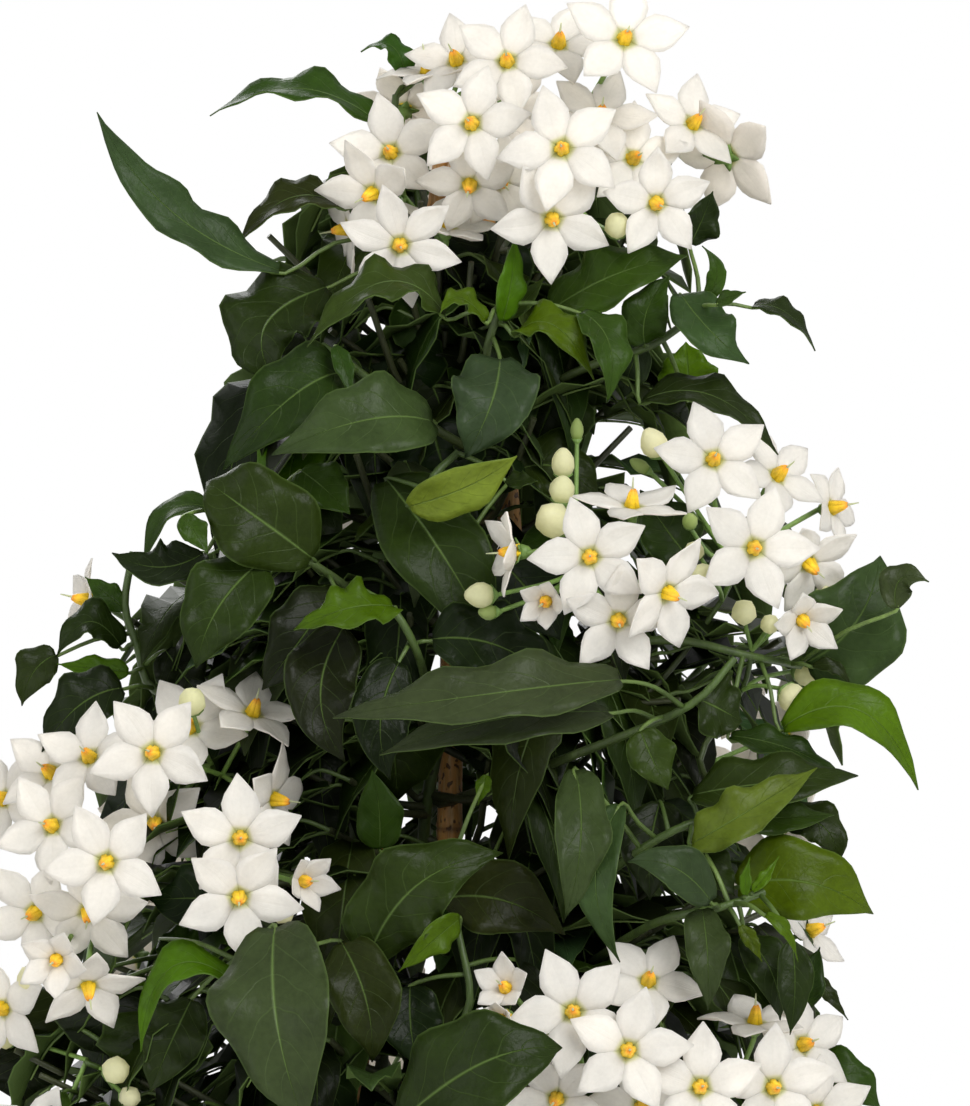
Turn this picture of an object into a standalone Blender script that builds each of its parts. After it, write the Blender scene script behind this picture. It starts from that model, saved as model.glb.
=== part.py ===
"""A potato vine in flower, trained up three bamboo canes in a plain clay pot.

Metres, +Z up. The origin is the middle of the pot's underside, and the plant is seen along +Y.
Leaves and flowers whose place is known from the photograph are listed in its pixels, 970 across
and 1106 down, with how far in millimetres they stand in front of the canes' axis. A rule with a
seeded draw grows the sides, the back and the skirt over the pot.
"""

import math
import random
from dataclasses import dataclass

import bmesh
import bpy
from mathutils import Vector
from mathutils.bvhtree import BVHTree

MM = 0.001
GAP = 0.3 * MM

POT_HEIGHT = 130 * MM
POT_TOP_RADIUS = 85 * MM
POT_BASE_RADIUS = 60 * MM
POT_WALL = 4.5 * MM
POT_FLOOR = 6 * MM
RIM_HEIGHT = 24 * MM
RIM_STEP = 3.5 * MM
DRAIN_RADIUS = 5 * MM
DRAIN_CIRCLE = 34 * MM
DRAINS = 4
TURN_STEPS = 20
SOIL_TOP = 118 * MM
SOIL_MOUND = 4 * MM
WALL_SLOPE_START = 1.5 * MM
RIM_UNDERCUT = 1.2 * MM
WALL_TOP_INSET = 3.4 * MM
FOOT_CHAMFER = 2 * MM
DRAIN_TURN = 0.4
CUT_BEYOND = 5 * MM
MOUND_RADIUS = 30 * MM
MOUND_SHARE = 0.8

CANE_RADIUS = 3 * MM
CANE_FOOT = 20 * MM
CANE_TOP = 466 * MM
CANE_FEET = ((-3, -52), (46, 24), (-43, 27))
CANE_SIDES = 6
CANE_JOINTS = (0.30, 0.62, 0.90)
JOINT_STEP = 0.03
JOINT_REACH = 0.008
JOINT_SWELL = 1.13
CANE_HOLE_DEPTH = 140 * MM
STEM_HOLE_DEPTH = 30 * MM
TIE_HEIGHT = 456 * MM
TIE_CENTRE = (4, 0)
TIE_SPREAD = 5.4 * MM
TIE_WALL = 1.2 * MM
TIE_LENGTH = 5 * MM
TIE_ROOM = 0.35 * MM
TIE_SIDES = 16

MAIN_STEM_RADIUS = 1.7 * MM
MAIN_STEM_TOP = 408 * MM
MAIN_STEM_FOOT = 104 * MM
TWINE_RADIUS = 6.4 * MM
TWINE_TURNS = 2.4
TWINE_STEPS = 13
STEM_SIDES = 4
STALK_SIDES = 3
SHOOT_RADIUS = 1.4 * MM
STALK_RADIUS = 0.95 * MM
PETIOLE_RADIUS = 0.62 * MM
PEDICEL_RADIUS = 0.5 * MM
RIB_THICKNESS = 1.1 * MM
HUB_RADIUS = 2.7 * MM

PIXEL = 0.25 * MM
PHOTO_MIDDLE = (485, 553)
AXIS_ACROSS = 445
MIDDLE_HEIGHT = 363 * MM
EYE_DISTANCE = 1.6
EYE_RISE = math.radians(5)
RIGHT = Vector((1, 0, 0))
UP = Vector((0, math.sin(EYE_RISE), math.cos(EYE_RISE)))
TO_EYE = Vector((0, -math.cos(EYE_RISE), math.sin(EYE_RISE)))
LOOKED_AT = Vector(((PHOTO_MIDDLE[0] - AXIS_ACROSS) * PIXEL, 0, MIDDLE_HEIGHT))
VERTICAL = Vector((0, 0, 1))

CROWN = ((0.10, 84), (0.14, 104), (0.20, 114), (0.28, 110), (0.34, 100), (0.39, 78), (0.44, 64), (0.50, 50))
CROWN_DEPTH = 0.88
SEED = 11

ROUTE_REACHES = (0, 4, 8, 12, 16, 20, 25, 30)
ROUTE_DIRECTIONS = 12
SHIFTS = (0, 3, -3, 6, -6, 9, -9, 12, -12, 16, -16, 20, -20, 25, -25)
TURNS = (0, 7, -7, 14, -14, 21, -21, 28, -28)
CLEARANCE = 0.25 * MM

BROAD_LEAF_STEPS = (0.22, 0.5, 0.78)
LEAF_STEPS = (0.3, 0.68)
SMALL_LEAF_STEPS = (0.42,)
BROAD_LEAF = 17.5 * MM
SMALL_LEAF = 7.5 * MM
PETAL_NOTCH = 0.36
PETAL_SIDE = (0.56, 0.30)
THROAT = 2.3 * MM
CALYX = 1.5 * MM
CONE_LENGTH = 5 * MM
THROAT_RISE = 0.3 * MM
CALYX_DROP = 1.4 * MM
PEDICEL_START = 1.6 * MM
PEDICEL_BEND = 4 * MM
PEDICEL_SWEEP = 0.35
BUD_WIDEST = 0.12
BUD_SHOULDER = 0.25
BUD_SHOULDER_RADIUS = 0.36
LEAF_ARCH = 0.06
GROWN_ARCH = 0.13
ROUTE_ENDS = (0.02, 0.98)
LAST_LEAF = 0.97
CLOSE_TURN = 36
CLOSE_SIZE = 27
BLADE_POWERS = (0.62, 0.95)
BLADE_WIDEST = 0.395

GREEN = (0.035, 0.075, 0.018, 1)
STEM_GREEN = (0.10, 0.17, 0.035, 1)
WHITE = (0.86, 0.85, 0.76, 1)
BAMBOO = (0.42, 0.22, 0.07, 1)
CLAY = (0.50, 0.19, 0.09, 1)
EARTH = (0.045, 0.028, 0.018, 1)
RUBBER_GREEN = (0.03, 0.06, 0.03, 1)


@dataclass(frozen=True)
class Leaf:
    """A blade from base to tip, each (across, down, mm in front), facing (right, up, to the eye)."""

    base: tuple
    tip: tuple
    width: float
    mid: tuple = ()
    face: tuple = (0, 0.5, 1)
    fold: float = 14


@dataclass(frozen=True)
class Flower:
    """A flower by its middle (across, down, mm in front), one petal's tip, and how it is turned."""

    middle: tuple
    tip: tuple
    yaw: float = 0
    pitch: float = 0
    size: float = 30
    opening: float = 84
    petals: int = 5


@dataclass(frozen=True)
class Bud:
    """A bud by its middle (across, down, mm in front), its diameter and length in mm."""

    middle: tuple
    width: float = 6.5
    length: float = 8.5
    lean: tuple = (0, 0.6, 0.8)


SHOOTS = {
    "shoot_top_left": (
        ((452, 330, 8), (410, 268, 18), (388, 190, 20), (396, 95, 16)),
        (
            Leaf((384, 128, 20), (210, 116, 15), 14, (300, 86, 24), (0, 1.6, 1)),
            Leaf((406, 82, 17), (361, 52, 15), 8, (392, 46, 18), (0, 1.5, 1)),
            Leaf((431, 78, 14), (434, 45, 14), 5),
            Leaf((284, 272, 32), (97, 112, 45), 14, (170, 212, 40), (-0.6, 1, 1)),
            Leaf((345, 208, 28), (237, 246, 30), 13, (290, 200, 34), (0, 1.2, 1)),
            Leaf((362, 234, 36), (273, 285, 40), 14, (318, 243, 42), (0, 0.6, 1)),
            Leaf((330, 286, 30), (279, 388, 40), 24, (262, 325, 40), (-0.4, 0.3, 1)),
        ),
    ),
    "shoot_top_middle": (
        ((468, 420, 14), (486, 360, 40), (500, 305, 46), (511, 250, 44)),
        (
            Leaf((447, 318, 50), (307, 347, 58), 15, (385, 285, 58), (0, 1.2, 1)),
            Leaf((487, 322, 50), (440, 314, 56), 7, (460, 299, 54), (0, 1, 1)),
            Leaf((502, 322, 52), (515, 235, 50), 8, (510, 280, 54), (0.6, 0, 1)),
            Leaf((508, 318, 50), (545, 276, 52), 5),
            Leaf((515, 335, 52), (594, 380, 62), 12, (555, 325, 62), (0, 1, 1)),
            Leaf((580, 312, 46), (607, 402, 54), 12, (610, 345, 54), (0.5, 0.4, 1)),
            Leaf((500, 358, 54), (465, 458, 64), 21, (490, 405, 66), (0, 0.3, 1)),
        ),
    ),
    "shoot_top_right": (
        ((520, 400, 16), (590, 366, 34), (650, 346, 40), (700, 312, 36)),
        (
            Leaf((545, 314, 36), (687, 256, 42), 18, (615, 278, 48), (0, 0.6, 1)),
            Leaf((690, 245, 24), (713, 191, 28), 10, (), (0.3, 0, 1)),
            Leaf((645, 345, 42), (670, 276, 42), 12, (648, 310, 46)),
            Leaf((642, 345, 32), (622, 400, 28), 10),
            Leaf((680, 293, 46), (749, 364, 54), 14, (708, 334, 56), (0, 0.6, 1)),
            Leaf((752, 306, 38), (815, 351, 38), 8, (788, 313, 42), (0, 1.5, 1)),
            Leaf((705, 302, 40), (702, 246, 42), 5, (716, 272, 42)),
            Leaf((716, 304, 40), (746, 292, 42), 4),
            Leaf((687, 400, 28), (686, 342, 26), 15),
            Leaf((640, 402, 46), (778, 455, 54), 13, (712, 398, 54), (0, 1.2, 1)),
        ),
    ),
    "shoot_shoulder_left": (
        ((452, 450, 16), (428, 424, 44), (360, 372, 40), (322, 345, 36)),
        (
            Leaf((435, 423, 56), (272, 455, 64), 22, (365, 418, 70), (0, 0.5, 1)),
            Leaf((345, 372, 46), (223, 470, 50), 21, (288, 395, 54), (0, 0.5, 1)),
            Leaf((335, 345, 48), (352, 398, 52), 5),
            Leaf((330, 352, 40), (345, 440, 40), 16, (), (0.2, 0, 1)),
        ),
    ),
    "shoot_middle": (
        ((455, 600, 18), (446, 540, 50), (430, 485, 58), (458, 452, 56)),
        (
            Leaf((407, 507, 64), (517, 456, 74), 13, (465, 482, 72), (0, -0.4, 1)),
            Leaf((506, 480, 60), (538, 481, 64), 5),
            Leaf((385, 478, 58), (500, 657, 70), 24, (440, 562, 74), (0, 0.2, 1)),
            Leaf((520, 470, 48), (600, 500, 46), 18, (560, 470, 48)),
            Leaf((500, 560, 44), (560, 640, 46), 20),
        ),
    ),
    "shoot_left_upper": (
        ((420, 620, 20), (330, 575, 52), (265, 535, 58), (222, 512, 52)),
        (
            Leaf((315, 560, 62), (207, 482, 62), 25, (250, 506, 68), (0, 0.2, 1)),
            Leaf((300, 470, 50), (350, 514, 56), 13),
            Leaf((218, 512, 50), (143, 568, 48), 9, (168, 510, 52), (0, 1.5, 1)),
            Leaf((182, 516, 48), (208, 553, 50), 7),
            Leaf((205, 552, 58), (112, 553, 58), 14, (160, 570, 62), (0, 0.8, 1)),
            Leaf((262, 560, 64), (196, 668, 70), 20, (222, 612, 72), (0, 0.2, 1)),
            Leaf((335, 590, 60), (262, 690, 66), 18, (300, 640, 68), (0, 0.2, 1)),
        ),
    ),
    "shoot_far_left": (
        ((410, 740, 16), (230, 712, 34), (155, 690, 34), (138, 648, 30), (125, 605, 26), (133, 552, 24)),
        (
            Leaf((125, 610, 26), (85, 577, 24), 7),
            Leaf((122, 648, 30), (57, 656, 32), 12, (88, 620, 34), (0, 1, 1)),
            Leaf((57, 655, 30), (22, 706, 30), 11, (34, 672, 32)),
            Leaf((130, 672, 34), (57, 664, 34), 7),
            Leaf((124, 688, 36), (42, 752, 38), 16, (78, 704, 40)),
            Leaf((165, 650, 36), (205, 700, 38), 14),
        ),
    ),
    "shoot_centre": (
        ((448, 720, 18), (420, 660, 62), (395, 612, 70), (362, 590, 66)),
        (
            Leaf((395, 607, 76), (294, 630, 82), 14, (350, 610, 86), (0, 0.8, 1)),
            Leaf((345, 625, 62), (345, 762, 74), 18, (318, 695, 74), (0, 0.2, 1)),
            Leaf((400, 660, 70), (390, 780, 76), 16, (380, 720, 76), (0.2, 0.2, 1)),
            Leaf((430, 640, 66), (560, 690, 64), 20, (500, 645, 68), (0, 0.4, 1)),
        ),
    ),
    "shoot_long_right": (
        ((470, 780, 18), (600, 745, 60), (690, 705, 74), (735, 658, 74)),
        (
            Leaf((625, 680, 90), (333, 718, 98), 18, (480, 684, 108), (0, 0.7, 1)),
            Leaf((612, 712, 84), (380, 755, 92), 16, (500, 726, 100), (0, 0.7, 1)),
            Leaf((640, 730, 78), (668, 790, 80), 12),
            Leaf((700, 700, 70), (742, 722, 66), 18),
        ),
    ),
    "shoot_right_upper": (
        ((500, 660, 18), (660, 640, 52), (745, 655, 58), (800, 666, 42)),
        (
            Leaf((804, 664, 42), (880, 556, 40), 27, (856, 622, 48), (0.2, 0.2, 1)),
            Leaf((896, 610, 36), (929, 582, 36), 9, (902, 580, 36)),
            Leaf((812, 666, 44), (852, 690, 44), 4, (836, 668, 45)),
            Leaf((780, 730, 58), (918, 790, 52), 15, (860, 712, 62), (0, 0.8, 1)),
            Leaf((728, 736, 62), (845, 780, 60), 9, (790, 750, 64), (0, 1, 1)),
            Leaf((690, 560, 44), (640, 490, 44), 16),
            Leaf((700, 640, 56), (690, 560, 52), 14),
        ),
    ),
    "shoot_right_lower": (
        ((520, 900, 20), (640, 850, 66), (700, 820, 70), (742, 812, 62)),
        (
            Leaf((690, 796, 70), (858, 776, 66), 16, (775, 776, 76), (0, 0.8, 1)),
            Leaf((690, 845, 80), (817, 768, 76), 13, (750, 812, 86), (0, 0.5, 1)),
            Leaf((720, 818, 66), (834, 815, 62), 10, (780, 820, 68)),
            Leaf((776, 820, 58), (835, 872, 58), 11, (822, 830, 60)),
            Leaf((622, 803, 82), (620, 962, 88), 11, (601, 880, 92), (-0.3, 0, 1)),
            Leaf((575, 768, 76), (565, 918, 86), 14, (582, 842, 90), (0.2, 0, 1)),
            Leaf((660, 800, 60), (650, 900, 64), 16),
        ),
    ),
    "shoot_right_young": (
        ((560, 980, 20), (650, 925, 74), (718, 908, 84), (764, 892, 80)),
        (
            Leaf((735, 887, 62), (873, 914, 58), 21, (808, 878, 68), (0, 0.3, 1)),
            Leaf((712, 903, 90), (628, 862, 96), 12, (675, 866, 98), (0, 0.4, 1)),
            Leaf((703, 848, 78), (735, 896, 82), 9),
            Leaf((702, 908, 84), (708, 1010, 92), 11, (703, 955, 94)),
            Leaf((745, 935, 80), (780, 1020, 82), 11, (768, 975, 86)),
            Leaf((792, 940, 66), (790, 1035, 68), 9),
            Leaf((811, 972, 50), (848, 1020, 50), 4),
            Leaf((745, 896, 88), (750, 857, 88), 3),
            Leaf((752, 892, 86), (779, 856, 84), 3),
            Leaf((765, 915, 84), (798, 962, 82), 3.5, (785, 930, 86)),
            Leaf((740, 925, 84), (762, 962, 84), 4),
        ),
    ),
    "shoot_middle_low": (
        ((445, 980, 18), (425, 930, 60), (405, 890, 68), (450, 870, 66)),
        (
            Leaf((368, 962, 78), (503, 853, 82), 22, (412, 880, 86), (0, 0.3, 1)),
            Leaf((440, 900, 68), (565, 935, 70), 20, (505, 895, 72), (0, 0.3, 1)),
            Leaf((487, 775, 62), (478, 805, 64), 4),
            Leaf((380, 850, 50), (372, 770, 52), 12),
            Leaf((520, 800, 44), (540, 900, 46), 20),
            Leaf((360, 880, 46), (330, 960, 50), 18),
        ),
    ),
    "shoot_low_left": (
        ((400, 1030, 18), (310, 975, 62), (262, 940, 76), (235, 960, 76)),
        (
            Leaf((243, 990, 84), (141, 1052, 84), 11, (175, 970, 88), (0, 1.2, 1)),
            Leaf((275, 925, 94), (305, 1125, 106), 29, (280, 1020, 110), (-0.2, 0.1, 1)),
            Leaf((160, 938, 58), (208, 960, 60), 12),
            Leaf((192, 998, 68), (150, 1092, 72), 16),
            Leaf((340, 940, 76), (372, 1062, 80), 18, (366, 1000, 84), (0, 0.2, 1)),
            Leaf((230, 900, 62), (150, 900, 56), 18),
        ),
    ),
    "shoot_low_middle": (
        ((445, 1110, 18), (450, 1060, 70), (470, 1000, 76), (458, 930, 74)),
        (
            Leaf((400, 1122, 98), (562, 1048, 106), 26, (488, 1070, 112), (0, 0.3, 1)),
            Leaf((460, 918, 84), (398, 972, 88), 8, (432, 938, 90), (0, -0.3, 1)),
            Leaf((410, 985, 70), (418, 1068, 74), 16),
            Leaf((520, 960, 60), (500, 1040, 62), 18),
        ),
    ),
    "shoot_low_right": (
        ((520, 1110, 18), (680, 1075, 56), (770, 1060, 58), (806, 1062, 52)),
        (
            Leaf((806, 1062, 58), (880, 1108, 60), 13, (850, 1078, 64)),
            Leaf((800, 1010, 54), (820, 947, 54), 9),
            Leaf((640, 960, 56), (660, 1030, 58), 14),
        ),
    ),
}

SPRAYS = {
    "spray_top_left": (
        ((428, 236, 16), (404, 196, 14), (388, 168, 12)),
        (
            Flower((400, 245, 52), (459, 263), 0, -8, 31, 84, 6),
            Flower((374, 193, 42), (337, 192), -35, -20),
            Flower((391, 153, 30), (437, 200), -10, 10),
            Flower((350, 228, 24), (324, 240), -75, -10, 27),
            Flower((405, 108, 20), (372, 108), -20, 120, 29),
            Flower((447, 228, 32), (500, 213), 30, 62, 28),
        ),
        (),
    ),
    "spray_top_middle": (
        ((456, 268, 12), (466, 206, 22), (466, 160, 25), (452, 98, 18)),
        (
            Flower((472, 124, 50), (435, 155), -8, 8),
            Flower((470, 184, 38), (452, 220), -5, -25, 27),
            Flower((500, 180, 34), (522, 212), 15, -20, 26),
            Flower((428, 74, 16), (400, 85), -20, 70, 26),
            Flower((457, 62, 24), (430, 55), -15, 30, 27),
            Flower((507, 62, 40), (460, 22), 0, 15),
            Flower((558, 46, 22), (535, 20), 10, 40, 28),
        ),
        (),
    ),
    "spray_top_centre": (
        ((505, 245, 30), (556, 175, 20), (572, 130, 14)),
        (
            Flower((562, 149, 60), (502, 153), 0, 5, 32),
            Flower((552, 219, 56), (492, 232), 8, -14, 31),
            Flower((600, 118, 32), (575, 92), 10, 35, 28),
            Flower((624, 40, 44), (562, 8), 12, 20, 33),
        ),
        (Bud((577, 190, 46), 6, 7), Bud((617, 225, 52), 6.5, 7.5)),
    ),
    "spray_top_right": (
        ((590, 300, 14), (664, 172, 12), (684, 145, 10)),
        (
            Flower((656, 203, 50), (697, 250), 10, -8, 28),
            Flower((632, 159, 32), (612, 182), 20, 10, 28),
            Flower((692, 125, 22), (697, 93), 25, 25, 28),
            Flower((728, 155, 20), (768, 158), 150, 25, 33, 100),
        ),
        (),
    ),
    "spray_right_inner": (
        ((560, 640, 30), (578, 570, 54), (575, 540, 56)),
        (
            Flower((590, 557, 92), (575, 502), 0, 0, 30),
            Flower((618, 620, 90), (578, 665), 5, -10, 28),
            Flower((666, 592, 94), (683, 530), 38, -18, 30),
            Flower((632, 508, 76), (575, 500), 12, 68, 29),
            Flower((548, 600, 82), (530, 612), -15, -10, 18, 42),
            Flower((518, 552, 78), (525, 590), -78, 0, 24, 66),
        ),
        (
            Bud((553, 520, 74), 9, 11, (-0.2, 0.3, 0.9)),
            Bud((563, 463, 64), 6, 8, (0, 0.9, 0.4)),
            Bud((562, 490, 68), 6.5, 7.5, (0.1, 0.9, 0.4)),
            Bud((480, 595, 74), 6.5, 8, (-1, 0, 0.3)),
            Bud((488, 612, 72), 4, 5, (-1, 0, 0.3)),
            Bud((577, 430, 52), 3.4, 6, (0, 1, 0.2)),
        ),
    ),
    "spray_right_outer": (
        ((640, 700, 34), (722, 600, 38), (730, 560, 36)),
        (
            Flower((713, 460, 62), (648, 455), 8, 12, 30),
            Flower((776, 477, 46), (810, 500), 35, 30, 27),
            Flower((754, 548, 74), (702, 583), 8, 0, 31),
            Flower((808, 563, 50), (830, 540), 30, -30, 27),
            Flower((830, 508, 28), (850, 510), 60, 10, 24),
        ),
        (
            Bud((654, 443, 58), 7, 8.5, (-0.5, 0.8, 0.4)),
            Bud((690, 521, 70), 4, 5),
            Bud((694, 551, 76), 5, 6, (-0.4, 0.3, 0.9)),
            Bud((702, 577, 80), 7, 7.5, (-0.3, 0, 1)),
            Bud((640, 466, 50), 3.4, 6, (-0.8, 0.5, 0.2)),
        ),
    ),
    "spray_right_low": (
        ((700, 760, 40), (742, 690, 44), (752, 650, 48)),
        (Flower((800, 618, 58), (790, 647), 22, -22, 22, 56),),
        (
            Bud((744, 612, 62), 6.5, 7.5, (0, 0.2, 1)),
            Bud((770, 624, 60), 5, 6, (0, 0.2, 1)),
            Bud((825, 594, 44), 4.5, 5.5, (0.8, 0.2, 0.5)),
            Bud((785, 665, 64), 7, 8, (0.7, -0.3, 0.6)),
            Bud((806, 675, 58), 5.5, 7, (0.9, -0.3, 0.4)),
            Bud((794, 699, 62), 7.5, 8.5, (0.7, -0.6, 0.5)),
        ),
    ),
    "spray_left_upper": (
        ((300, 770, 34), (222, 775, 44), (212, 765, 42)),
        (
            Flower((153, 753, 76), (120, 703), -8, 5, 31),
            Flower((191, 728, 54), (156, 679), -5, 25, 30),
            Flower((252, 715, 56), (212, 672), 30, 55, 30),
            Flower((272, 799, 66), (278, 736), 62, -8, 28),
            Flower((155, 823, 60), (205, 856), 0, -10, 29),
            Flower((90, 758, 58), (75, 780), -15, 25, 28),
        ),
        (Bud((192, 701, 66), 7, 8, (0, 0.6, 0.8)),),
    ),
    "spray_left_inner": (
        ((360, 900, 40), (262, 872, 60), (250, 868, 58)),
        (
            Flower((240, 838, 86), (242, 770), 5, 0, 31),
            Flower((239, 897, 90), (187, 922), 5, -12, 31),
            Flower((300, 881, 78), (319, 854), 35, 0, 19, 48),
        ),
        (Bud((283, 912, 76), 6, 7, (0.4, -0.4, 0.8)),),
    ),
    "spray_left_outer": (
        ((230, 900, 30), (100, 880, 44), (88, 878, 42)),
        (
            Flower((107, 862, 90), (152, 817), -8, -4, 31),
            Flower((52, 774, 46), (30, 790), -25, 25, 28),
            Flower((5, 800, 34), (20, 780), -30, 20, 28),
            Flower((53, 826, 58), (14, 843), -20, 10, 29),
            Flower((36, 912, 64), (10, 880), -22, -12, 29),
            Flower((89, 911, 74), (120, 958), -5, -28, 30),
            Flower((58, 958, 84), (40, 940), -10, -12, 22, 52),
            Flower((88, 984, 78), (140, 967), 8, -48, 28),
            Flower((4, 1008, 56), (20, 1000), -30, -10, 28),
        ),
        (Bud((29, 979, 62), 6.5, 7.5, (-0.2, -0.3, 0.9)),),
    ),
    "spray_low_left": (
        ((230, 1110, 34), (100, 1068, 60), (87, 1060, 60)),
        (
            Flower((40, 1140, 66), (10, 1120), -20, 0, 28),
            Flower((150, 1160, 74), (120, 1140), -10, -10, 28),
        ),
        (
            Bud((116, 1070, 72), 7, 7.5, (0.4, 0.3, 0.9)),
            Bud((130, 1097, 72), 5.5, 6.5, (0.4, 0, 0.9)),
            Bud((4, 1036, 52), 6.5, 7.5, (-0.6, 0.2, 0.7)),
        ),
    ),
    "spray_low_middle": (
        ((480, 1170, 40), (580, 1090, 66), (585, 1080, 66)),
        (
            Flower((573, 1012, 98), (542, 941), 0, 8, 32),
            Flower((628, 1050, 102), (643, 983), 3, 2, 31),
            Flower((642, 1106, 96), (590, 1100), 0, -8, 30),
            Flower((648, 982, 84), (666, 951), 8, 30, 28),
            Flower((508, 990, 92), (487, 982), -20, 20, 20, 46),
            Flower((505, 1018, 98), (480, 1005), -24, -6, 17, 36),
            Flower((520, 1042, 86), (455, 1052), -12, -62, 32),
            Flower((557, 1098, 90), (545, 1075), -10, -12, 28),
        ),
        (Bud((489, 1036, 100), 7, 8, (-0.8, -0.2, 0.7)),),
    ),
    "spray_low_right": (
        ((600, 1180, 36), (720, 1100, 64), (735, 1085, 62)),
        (
            Flower((700, 1087, 98), (704, 1010), 5, 4, 31),
            Flower((773, 1087, 92), (769, 1021), 10, 0, 31),
            Flower((755, 1024, 72), (717, 1015), 12, 72, 28),
            Flower((802, 1045, 66), (798, 1005), 30, 12, 28),
            Flower((815, 1112, 72), (812, 1060), 25, -5, 29),
        ),
        (),
    ),
    "spray_right_edge": (
        ((640, 1010, 16), (770, 950, 24), (785, 945, 24)),
        (Flower((808, 932, 26), (835, 918), 60, 20, 24),),
        (),
    ),
    "spray_far_left": (
        ((160, 640, 8), (115, 612, 10), (112, 608, 10)),
        (Flower((90, 601, 12), (100, 570), -70, 10, 22, 75),),
        (),
    ),
}

SKIRT_SHOOTS = 5
SKIRT_FIRST = 198
SKIRT_LAST = 330
SKIRT_HEIGHTS = (0.168, 0.198)
SKIRT_LEAVES = 6
BACK_SHOOTS = 10
BACK_FIRST = 12
BACK_LAST = 168
BACK_LOW = 0.155
BACK_HIGH = 0.455
BACK_LEAVES = 7
PETIOLE_OUT = 9 * MM
PETIOLE_UP = 3 * MM
GROWN_FOLD = 14
SHOOT_RISE = 30 * MM
SHOOT_INNER = 0.42
SHOOT_END = 0.74
BACK_SPRAYS = ((70, 0.455, 6), (108, 0.39, 6), (42, 0.30, 6), (95, 0.235, 6), (138, 0.27, 5))
SPRAY_REACH = 0.86
SPRAY_INSET = 16 * MM
SPRAY_DROP = 25 * MM
SPRAY_INNER = 0.35
DOME_HEIGHT = 27 * MM
DOME_CURVE = 22
DOME_LIFT = 0.3 * MM
FLOWER_OPENING = 84
GOLDEN_STEP = 0.618
LEAF_SHRINKS = (1, 0.8)
OUTLINE = (
    (0, 430, 650), (60, 400, 670), (130, 380, 720), (230, 250, 700), (300, 245, 740), (360, 270, 760),
    (440, 240, 770), (480, 240, 800), (560, 130, 860), (640, 90, 890), (700, 60, 860), (780, 60, 840),
    (860, 70, 860), (950, 80, 840), (1040, 60, 835), (1106, 40, 850),
)

MATERIALS = {}
PLACED = []


def material(name, colour, roughness):
    """A plain finish, made once."""
    if name not in MATERIALS:
        made = bpy.data.materials.new(name)
        made.use_nodes = True
        shader = made.node_tree.nodes["Principled BSDF"]
        shader.inputs["Base Color"].default_value = colour
        shader.inputs["Roughness"].default_value = roughness
        MATERIALS[name] = made
    return MATERIALS[name]


def collection(name, hidden=False):
    made = bpy.data.collections.new(name)
    made.hide_render = hidden
    bpy.context.scene.collection.children.link(made)
    return made


def seen(place):
    """The point at this pixel of the photograph, so many millimetres in front of the axis."""
    across, down, near = place
    shrink = 1 - near * MM / EYE_DISTANCE
    right = (across - PHOTO_MIDDLE[0]) * PIXEL * shrink
    up = (PHOTO_MIDDLE[1] - down) * PIXEL * shrink
    return LOOKED_AT + right * RIGHT + up * UP + near * MM * TO_EYE


def nearer(place, shift):
    return (place[0], place[1], place[2] + shift)


def in_outline(point):
    """Whether the photograph shows this point inside the plant's outline, or ends above it."""
    offset = point - LOOKED_AT
    scale = PIXEL * (1 - offset.dot(TO_EYE) / EYE_DISTANCE)
    across = PHOTO_MIDDLE[0] + offset.dot(RIGHT) / scale
    down = PHOTO_MIDDLE[1] - offset.dot(UP) / scale
    for (high, left, right), (low, next_left, next_right) in zip(OUTLINE, OUTLINE[1:]):
        if high <= down < low:
            share = (down - high) / (low - high)
            return left + (next_left - left) * share < across < right + (next_right - right) * share
    return down >= OUTLINE[-1][0]


def crown_radius(height):
    """How far the crown reaches at this height."""
    for (low, inner), (high, outer) in zip(CROWN, CROWN[1:]):
        if height <= high:
            share = max(height - low, 0) / (high - low)
            return (inner + (outer - inner) * share) * MM
    return CROWN[-1][1] * MM


def curve_point(start, middle, end, share):
    """A point on the curve that runs from start to end through middle."""
    control = 2 * middle - (start + end) / 2
    rest = 1 - share
    return rest * rest * start + 2 * rest * share * control + share * share * end


def curve_heading(start, middle, end, share):
    control = 2 * middle - (start + end) / 2
    return ((1 - share) * (control - start) + share * (end - control)).normalized()


def ring(centre, heading, towards, radius, sides):
    """A ring of points round a heading, the first one on the side given by towards."""
    first = towards - towards.dot(heading) * heading
    if first.length < 1e-6:
        first = heading.orthogonal()
    first.normalize()
    second = heading.cross(first)
    angles = [math.tau * i / sides for i in range(sides)]
    return [centre + radius * (math.cos(a) * first + math.sin(a) * second) for a in angles]


def stitch(low, high, faces):
    """Triangles between two rings of point numbers that may differ in count."""
    if len(high) == 1:
        faces.extend((low[i], low[(i + 1) % len(low)], high[0]) for i in range(len(low)))
        return
    i = j = 0
    while i < len(low) or j < len(high):
        if j == len(high) or (i < len(low) and (i + 1) * len(high) <= (j + 1) * len(low)):
            faces.append((low[i % len(low)], low[(i + 1) % len(low)], high[j % len(high)]))
            i += 1
        else:
            faces.append((low[i % len(low)], high[(j + 1) % len(high)], high[j % len(high)]))
            j += 1


def fan(numbers, faces):
    faces.extend((numbers[0], numbers[i], numbers[i + 1]) for i in range(1, len(numbers) - 1))


def loft(rings):
    """A closed solid through rings of points, with flat ends or a single point at the last."""
    points = [point for one in rings for point in one]
    numbers = []
    for one in rings:
        start = sum(len(group) for group in numbers)
        numbers.append(list(range(start, start + len(one))))
    faces = []
    fan(numbers[0], faces)
    for low, high in zip(numbers, numbers[1:]):
        stitch(low, high, faces)
    if len(numbers[-1]) > 2:
        fan(numbers[-1], faces)
    return points, faces


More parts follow.
